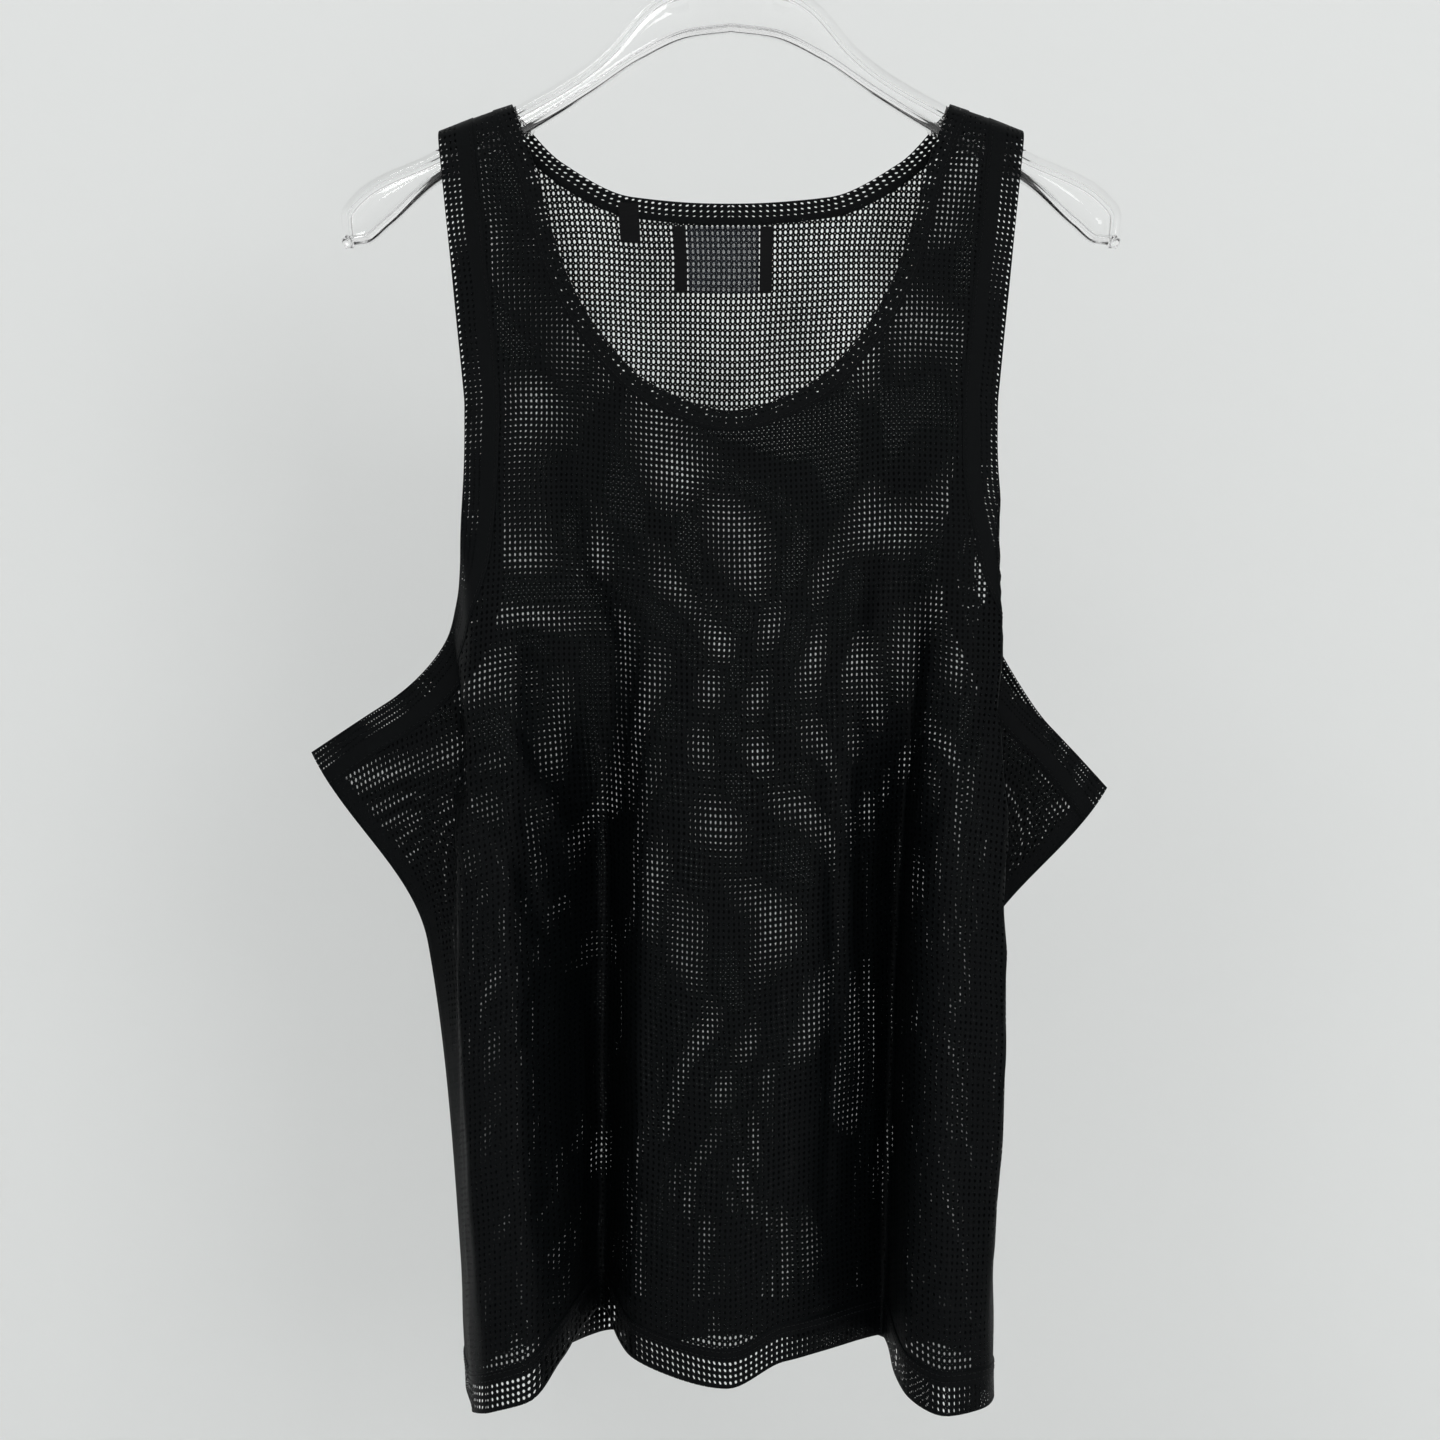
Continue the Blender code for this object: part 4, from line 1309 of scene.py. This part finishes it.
@dataclass
class TankTop:
    """The top: two panels, their hems, three bindings and the trim at the back of the neck."""

    shell: float = 0.5
    binding_wall: float = 1.3
    binding_rounding: float = 0.35
    binding_columns: int = 6
    hem_wall: float = 1.6
    hem_rounding: float = 0.45
    hem_stitch_rows: Pair = (1.6, 4.6)
    seam_inset: float = 1.8
    stitch_lift: float = 0.1
    trim_inset: float = -1.3
    trim_columns: int = 16
    tape_wall: float = 0.7
    tape_rounding: float = 0.2
    label_wall: float = 0.3
    label_stitch: float = 2.2
    label_stitch_inset: float = -1.55
    label_stitch_rows: Pair = (1.5, -3.0)
    label_stitch_points: int = 40
    label: Corners = (-22.5, 62.5, 14.5, 99.0)
    label_tapes: tuple[tuple[str, Corners], ...] = (
        ("label_strip_left", (-29.5, 62.5, -23.0, 99.0)),
        ("label_strip_right", (15.0, 62.5, 21.5, 99.0)),
        ("size_tab", (-57.0, 50.5, -46.5, 72.5)))

    def __post_init__(self) -> None:
        """Hang both panels and lay out their cuts."""
        self.hanging = {
            Side.FRONT: HangingPanel(Side.FRONT, FRONT_FOLDS, FRONT_CREASES, Gathering(-90.0), 0.4),
            Side.BACK: HangingPanel(Side.BACK, BACK_FOLDS, BACK_CREASES, Gathering(130.0), 3.1)}
        self.cuts = {
            Side.FRONT: PanelCut(self.hanging[Side.FRONT],
                                 ((107, 0), (97, 38), (88, 88), (73, 124), (42, 153), (0, 164))),
            Side.BACK: PanelCut(self.hanging[Side.BACK], ((107, 0), (84, 28), (50, 47), (0, 50)))}

    def build(self) -> None:
        stitches = self.build_stitching()
        for side, cut in self.cuts.items():
            word = side.name.lower()
            hem = ClothPiece(f"hem_{word}", [cut.hem_sheet()], HEM_KNIT, "hem_cloth", self.hem_wall,
                             self.hem_rounding).build()
            panel = ClothPiece(f"{word}_panel", cut.panel_sheets(), PANEL_KNIT, "mesh_cloth",
                               self.shell).build()
            cut.panel_area()
        self.build_bindings()
        self.build_trim()

    def build_bindings(self) -> None:
        """Build the neck binding and the two armhole bindings.
        """
        first = self.cuts[Side.FRONT]
        neck: list[Sheet] = []
        for name, sign in HANDS:
            for cut in self.cuts.values():
                neck.append(cut.binding(cut.neck, cut.neck_stations, cut.neck_width, sign,
                                        self.binding_columns))
            neck.append(self.over_shoulder(first.neck, first.neck_width, sign))
            armhole = [cut.binding(cut.armhole, cut.armhole_stations, cut.armhole_width, sign,
                                   self.binding_columns) for cut in self.cuts.values()]
            armhole.append(self.over_shoulder(first.armhole, first.armhole_width, sign))
            piece = ClothPiece(f"armhole_binding_{name}", armhole, ARM_KNIT, "binding_cloth",
                               self.binding_wall, self.binding_rounding).build()
        piece = ClothPiece("neck_binding", neck, NECK_KNIT, "binding_cloth", self.binding_wall,
                           self.binding_rounding).build()

    def over_shoulder(self, edge: CutEdge, width: float, sign: int) -> Sheet:
        """Narrow strip over the shoulder seam that joins a binding's front and back.

        Args:
            edge: the neckline or the armhole.
            width: the strip's width.
            sign: minus one for the left side and one for the right.

        Returns:
            The strip's sheet.
        """
        def place(share_across: Array, share_over: Array) -> Laid:
            """Read the strip between the two panels at its shares.

            Args:
                share_across: share of the width at each point.
                share_over: share of the way from front to back at each point.

            Returns:
                Places, knit distances and gathers.
            """
            flat = edge.at(np.zeros(len(share_across)), width * share_across) * (sign, 1)
            front, back = (hanging.drape(flat) for hanging in self.hanging.values())
            strip = np.stack([width * share_across, share_over - 1], axis=1)
            return front + (back - front) * share_over[:, None], strip, np.zeros(len(strip))
        return Sheet(self.binding_columns, 1, place)

    def build_stitching(self) -> dict[str, Piece]:
        """Build every visible row of stitches.

        Returns:
            The rows' objects by the piece that they hold.
        """
        made = {}
        lift = self.binding_wall / 2 + self.stitch_lift
        for side, cut in self.cuts.items():
            key = f"hem_{side.name.lower()}"
            top = CUT_LENGTH - cut.hem_height
            paths = [cut.level_path(top + below, self.hem_wall / 2 + self.stitch_lift)
                     for below in self.hem_stitch_rows]
            made[key] = Stitching(f"{key}_stitching", paths, THREAD, "hem_cloth").build()
        neck = [cut.seam_path(cut.neck, cut.neck_width - self.seam_inset, sign, lift)
                for cut in self.cuts.values() for sign in (-1, 1)]
        made["neck"] = Stitching("neck_stitching", neck, THREAD, "binding_cloth").build()
        for name, sign in HANDS:
            paths = [cut.seam_path(cut.armhole, cut.armhole_width - self.seam_inset, sign, lift)
                     for cut in self.cuts.values()]
            made[f"armhole_{name}"] = Stitching(f"armhole_stitching_{name}", paths, THREAD,
                                                "binding_cloth").build()
        return made

    def build_trim(self) -> None:
        """Build the sheer label, its two tapes and the size tab, inside the back of the neck."""
        tapes = [ClothPiece(name, [self.inside_back(corners)], LABEL_TAPE, "tape", self.tape_wall,
                            self.tape_rounding).build() for name, corners in self.label_tapes]
        label = ClothPiece("neck_label", [self.inside_back(self.label)], LABEL_CLOTH, "sheer_label",
                           self.label_wall).build()
        left, top, right, bottom = self.label
        below_top, above_bottom = self.label_stitch_rows
        across = np.linspace(left, right, self.label_stitch_points)
        rows = [self.hanging[Side.BACK].lifted(
            np.stack([across, np.full_like(across, down)], axis=1), self.label_stitch_inset)
            for down in (top + below_top, bottom + above_bottom)]
        stitching = Stitching("label_stitching", rows, THREAD, "sheer_label",
                              self.label_stitch).build()
        left, top, right, bottom = self.label_tapes[2][1]

    def inside_back(self, corners: Corners) -> Sheet:
        """Rectangle sewn on the inner face of the back panel.

        Args:
            corners: left, top, right and bottom on the flat cloth.

        Returns:
            The rectangle's sheet.
        """
        left, top, right, bottom = corners

        def place(share_across: Array, share_down: Array) -> Laid:
            """Read the rectangle at its shares.

            Args:
                share_across: share of the width at each point.
                share_down: share of the height at each point.

            Returns:
                Places, knit distances and gathers.
            """
            flat = np.stack([left + (right - left) * share_across,
                             top + (bottom - top) * share_down], axis=1)
            return self.hanging[Side.BACK].lifted(flat, self.trim_inset), flat, np.zeros(len(flat))
        return Sheet(self.trim_columns, self.trim_columns, place)


# ---- The hanger ----

Edges = list[bmesh.types.BMEdge]
Ring = dict[bmesh.types.BMVert, int]


def next_ring(shape: bmesh.types.BMesh, edges: Edges, ring: Ring) -> tuple[Edges, Ring]:
    """Extrude a ring of edges, whose new vertices keep the numbers of the old ones.

    Args:
        shape: the mesh.
        edges: the ring's edges.
        ring: the number of each of its vertices.

    Returns:
        The new edges and the numbers of the new vertices.
    """
    made = bmesh.ops.extrude_edge_only(shape, edges=edges)["geom"]
    fresh = [vert for vert in made if isinstance(vert, bmesh.types.BMVert)]
    numbered = {vert: ring[next(edge.other_vert(vert) for edge in vert.link_edges
                                if edge.other_vert(vert) in ring)] for vert in fresh}
    return [edge for edge in made if isinstance(edge, bmesh.types.BMEdge)], numbered


@dataclass
class Hanger:
    """Clear moulded hanger: one flat outline with a rounded rim and a thinner web."""

    finish: Finish
    thickness: float = 12.5
    rounding: float = 4.4
    web: float = 4.5
    recess_top: float = -92.0
    recess_blend: float = 7.0
    rim_turn: float = 78.0
    rim_steps: int = 7
    crest: tuple[Pair, ...] = ((4.3, 0.0), (4.9, -0.25), (5.4, -0.9))
    foot: tuple[Pair, ...] = ((5.6, 1.0), (5.9, 0.3), (6.5, 0.0))
    half_points: int = 220
    outline: tuple[Pair, ...] = (
        (0, -64), (9, -66), (13, -75), (28, -87), (49.7, -101.8), (71.2, -126.1), (85.9, -138.6),
        (125, -161.4), (168.4, -185.4), (210.2, -206.4), (220.9, -222), (218, -239), (206, -238),
        (192.1, -227.8), (165, -203.5), (111.9, -174.1), (76.8, -152.1), (48, -132.9),
        (22.6, -121.6), (0, -118.8))

    def ring(self, inset: float, depth: float) -> Array:
        """Outline moved inwards, at a depth from the middle plane.

        Args:
            inset: how far in.
            depth: distance from the middle plane where there is a recess.

        Returns:
            Places round the outline.
        """
        right = np.array(self.outline, float)
        knots = running_length(right)
        right = smooth_through(knots, right, np.linspace(0, knots[-1], self.half_points))
        line = np.concatenate([right, right[-2:0:-1] * (-1, 1)])
        along = np.roll(line, -1, axis=0) - np.roll(line, 1, axis=0)
        inward = np.stack([along[:, 1], -along[:, 0]], axis=1)
        moved = line + inset * inward / np.linalg.norm(inward, axis=1)[:, None]
        full = max(depth, min(self.thickness / 2, self.full_depth(inset)))
        below = ramp(moved[:, 1], self.recess_top, self.recess_top - self.recess_blend)
        y = depth * below + full * (1 - below)
        return np.stack([moved[:, 0], y, moved[:, 1]], axis=1)

    def full_depth(self, inset: float) -> float:
        """Distance of the unrecessed face from the middle plane at an inset."""
        rise = math.sqrt(max(self.rounding**2 - max(self.rounding - inset, 0) ** 2, 0))
        return self.thickness / 2 - self.rounding + rise

    def profile(self) -> list[Pair]:
        """Insets and depths from the outer edge over the rim and down to the web.

        Returns:
            An inset and a depth for each ring.
        """
        angles = np.radians(np.linspace(0, self.rim_turn, self.rim_steps))
        insets = self.rounding * (1 - np.cos(angles))
        rim = [(float(inset), self.full_depth(float(inset))) for inset in insets]
        crest = [(inset, self.thickness / 2 + rise) for inset, rise in self.crest]
        return rim + crest + [(inset, self.web / 2 + rise) for inset, rise in self.foot]

    def build(self) -> Piece:
        """Extrude the outline over the rim on both faces and close the webs.

        Returns:
            The hanger body.
        """
        body = bmesh.new()
        count = 2 * self.half_points - 2
        start = bmesh.ops.create_circle(body, segments=count, radius=1.0)["verts"]
        for vert, place in zip(start, self.ring(0.0, 0.0)):
            vert.co = Vector(place) * MM
        for face in (-1, 1):
            order = {vert: number for number, vert in enumerate(start)}
            edges = [edge for edge in body.edges if all(vert in order for vert in edge.verts)]
            for inset, depth in self.profile():
                places = self.ring(inset, depth) * (1, face, 1)
                edges, order = next_ring(body, edges, order)
                for vert, number in order.items():
                    vert.co = Vector(places[number]) * MM
            bmesh.ops.triangle_fill(body, use_beauty=True, edges=edges)
        bmesh.ops.recalc_face_normals(body, faces=body.faces)
        piece = as_object("hanger_moulding", body, self.finish, "clear_plastic")
        piece.data.set_sharp_from_angle(angle=SHARP)
        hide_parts("hanger_body")
        return piece


@dataclass
class Hook:
    """Round wire hook: a stem, a short swing to one side and most of a circle."""

    finish: Finish
    wire: float = 2.0
    inner: float = 20.0
    stem_foot: float = -80.0
    stem_top: float = -54.0
    stem_bend: float = 8.0
    swing: Pair = (5.0, 4.5)
    start: float = -52.0
    end: float = 205.0
    turns: int = 26
    steps: int = 120
    sides: int = 20
    tip: float = 2.0
    tip_end: float = 0.02

    def route(self) -> Array:
        """Middle line of the wire, from inside the hanger to the hook's tip.

        Returns:
            Points along the wire.
        """
        bow, centre = self.inner + self.wire, -self.inner
        turns = np.radians(np.linspace(self.start, self.end, self.turns))
        circle = np.stack([bow * np.cos(turns), centre + bow * np.sin(turns)], axis=1)
        aside, below = self.swing
        stem = [(0, self.stem_foot), (0, self.stem_top - self.stem_bend), (0, self.stem_top),
                (aside, centre - bow - below)]
        points = np.concatenate([np.array(stem), circle])
        knots = running_length(points)
        return smooth_through(knots, points, np.linspace(0, knots[-1], self.steps))

    def build(self) -> Piece:
        """Extrude a ring of wire along the route and round its tip.

        Returns:
            The hook.
        """
        route = self.route()
        length = running_length(route)
        along = np.gradient(route, axis=0)
        along /= np.linalg.norm(along, axis=1)[:, None]
        left = np.clip(length[-1] - length, 0, self.tip) / self.tip
        radius = self.wire * np.sqrt(np.maximum(1 - (1 - left) ** 2, self.tip_end))
        turn = np.linspace(0, 2 * math.pi, self.sides, endpoint=False)
        wire = bmesh.new()
        ring = bmesh.ops.create_circle(wire, segments=self.sides, radius=1.0,
                                       cap_ends=True)["verts"]
        order = {vert: number for number, vert in enumerate(ring)}
        edges = list(wire.edges)
        for step, (x, z) in enumerate(route):
            if step:
                edges, order = next_ring(wire, edges, order)
            tx, tz = along[step]
            for vert, number in order.items():
                out = radius[step] * math.cos(turn[number])
                side = radius[step] * math.sin(turn[number])
                vert.co = Vector((x - tz * out, side, z + tx * out)) * MM
        bmesh.ops.contextual_create(wire, geom=edges)
        bmesh.ops.recalc_face_normals(wire, faces=wire.faces)
        piece = as_object("hook_wire", wire, self.finish, "hook_steel")
        piece.data.set_sharp_from_angle(angle=SHARP)
        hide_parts("hanger_hook")
        return piece


# ---- The studio ----


class Lamp(NamedTuple):
    """A soft square light: place and aim in metres, size and power."""

    name: str
    place: Triple
    aim: Triple
    size: float
    power: float


@dataclass
class Studio:
    """Pale wall and floor, soft light that is weaker from both sides, and the camera."""

    paint: Finish
    floor: Finish
    wall_y: float = 0.55
    floor_z: float = -1.09
    spread: float = 8.0
    world: str = "#ededed"
    world_strength: float = 1.04
    camera_place: Triple = (-0.0062, -1.35, -0.5058)
    lens: float = 59.73
    lamps: tuple[Lamp, ...] = (
        Lamp("key", (1.0, -2.5, -0.1), (0, 0.05, -0.45), 0.8, 11.0),
        Lamp("top strip", (-0.5, -1.2, 0.7), (0, 0.0, -0.2), 0.3, 2.5),
    )
    side_shade: float = 0.4
    side_band: Pair = (0.86, 0.98)
    sensor: float = 36.0
    see_through_layers: int = 32

    def plane(self, name: str, matrix: Matrix, finish: Finish) -> None:
        """Add a flat sheet of the studio.

        Args:
            name: the object's name.
            matrix: where the sheet lies.
            finish: its paint.
        """
        mesh = bpy.data.meshes.new(name)
        sheet = bmesh.new()
        bmesh.ops.create_grid(sheet, x_segments=1, y_segments=1, size=self.spread / 2,
                              matrix=matrix)
        sheet.to_mesh(mesh)
        sheet.free()
        mesh.materials.append(finish.make())
        backdrop = bpy.data.objects.new(name, mesh)
        bpy.context.scene.collection.objects.link(backdrop)

    def build(self) -> None:
        """Set up the wall, floor, world, lights and camera."""
        scene = bpy.context.scene
        upright = Matrix.Rotation(math.radians(90), 4, "X")
        height = self.floor_z + self.spread / 2
        self.plane("wall", Matrix.Translation((0, self.wall_y, height)) @ upright, self.paint)
        self.plane("floor", Matrix.Translation((0, 0, self.floor_z)), self.floor)
        world = bpy.data.worlds.new("soft studio")
        world.use_nodes = True
        background = world.node_tree.nodes["Background"]
        background.inputs["Color"].default_value = linear(self.world)
        direction = add_node(world.node_tree, "TexCoord", {}, {}).outputs["Generated"]
        parts = add_node(world.node_tree, "SeparateXYZ", {}, {"Vector": direction})
        sideways = add_node(world.node_tree, "Math", {"operation": "ABSOLUTE"},
                            {0: parts.outputs["X"]})
        open_end, shaded = self.side_band
        strength = add_node(world.node_tree, "MapRange", {}, {
            "Value": sideways.outputs[0], "From Min": open_end, "From Max": shaded,
            "To Min": self.world_strength, "To Max": self.world_strength * self.side_shade})
        world.node_tree.links.new(strength.outputs[0], background.inputs["Strength"])
        scene.world = world
        for lamp in self.lamps:
            light = bpy.data.lights.new(lamp.name, "AREA")
            light.shape, light.size, light.energy = "SQUARE", lamp.size, lamp.power
            holder = bpy.data.objects.new(lamp.name, light)
            holder.location = lamp.place
            aim = Vector(lamp.aim) - Vector(lamp.place)
            holder.rotation_euler = aim.to_track_quat("-Z", "Y").to_euler()
            scene.collection.objects.link(holder)
        camera = bpy.data.objects.new("camera", bpy.data.cameras.new("camera"))
        camera.location = self.camera_place
        camera.rotation_euler = (math.radians(90), 0, 0)
        camera.data.lens, camera.data.sensor_width = self.lens, self.sensor
        scene.collection.objects.link(camera)
        scene.camera = camera
        scene.view_settings.view_transform = "Standard"
        scene.cycles.transparent_max_bounces = self.see_through_layers


def main() -> None:
    """Build the top, its hanger and the studio."""
    logging.basicConfig(level=logging.INFO, format="%(asctime)s %(name)s: %(message)s")
    TankTop().build()
    Hanger(ClearPolystyrene("injection-moulded clear polystyrene", "#ffffff", 0.03)).build()
    Hook(PolishedSteel("polished plated steel wire", "#c9cbcd", 0.16)).build()
    Studio(WallPaint("rolled matt wall paint", "#e3e5e4", 0.9, 0.2),
           WallPaint("matt studio floor", "#f8f8f8", 0.85, 0.2, one_sided=False)).build()


if __name__ == "__main__":
    main()
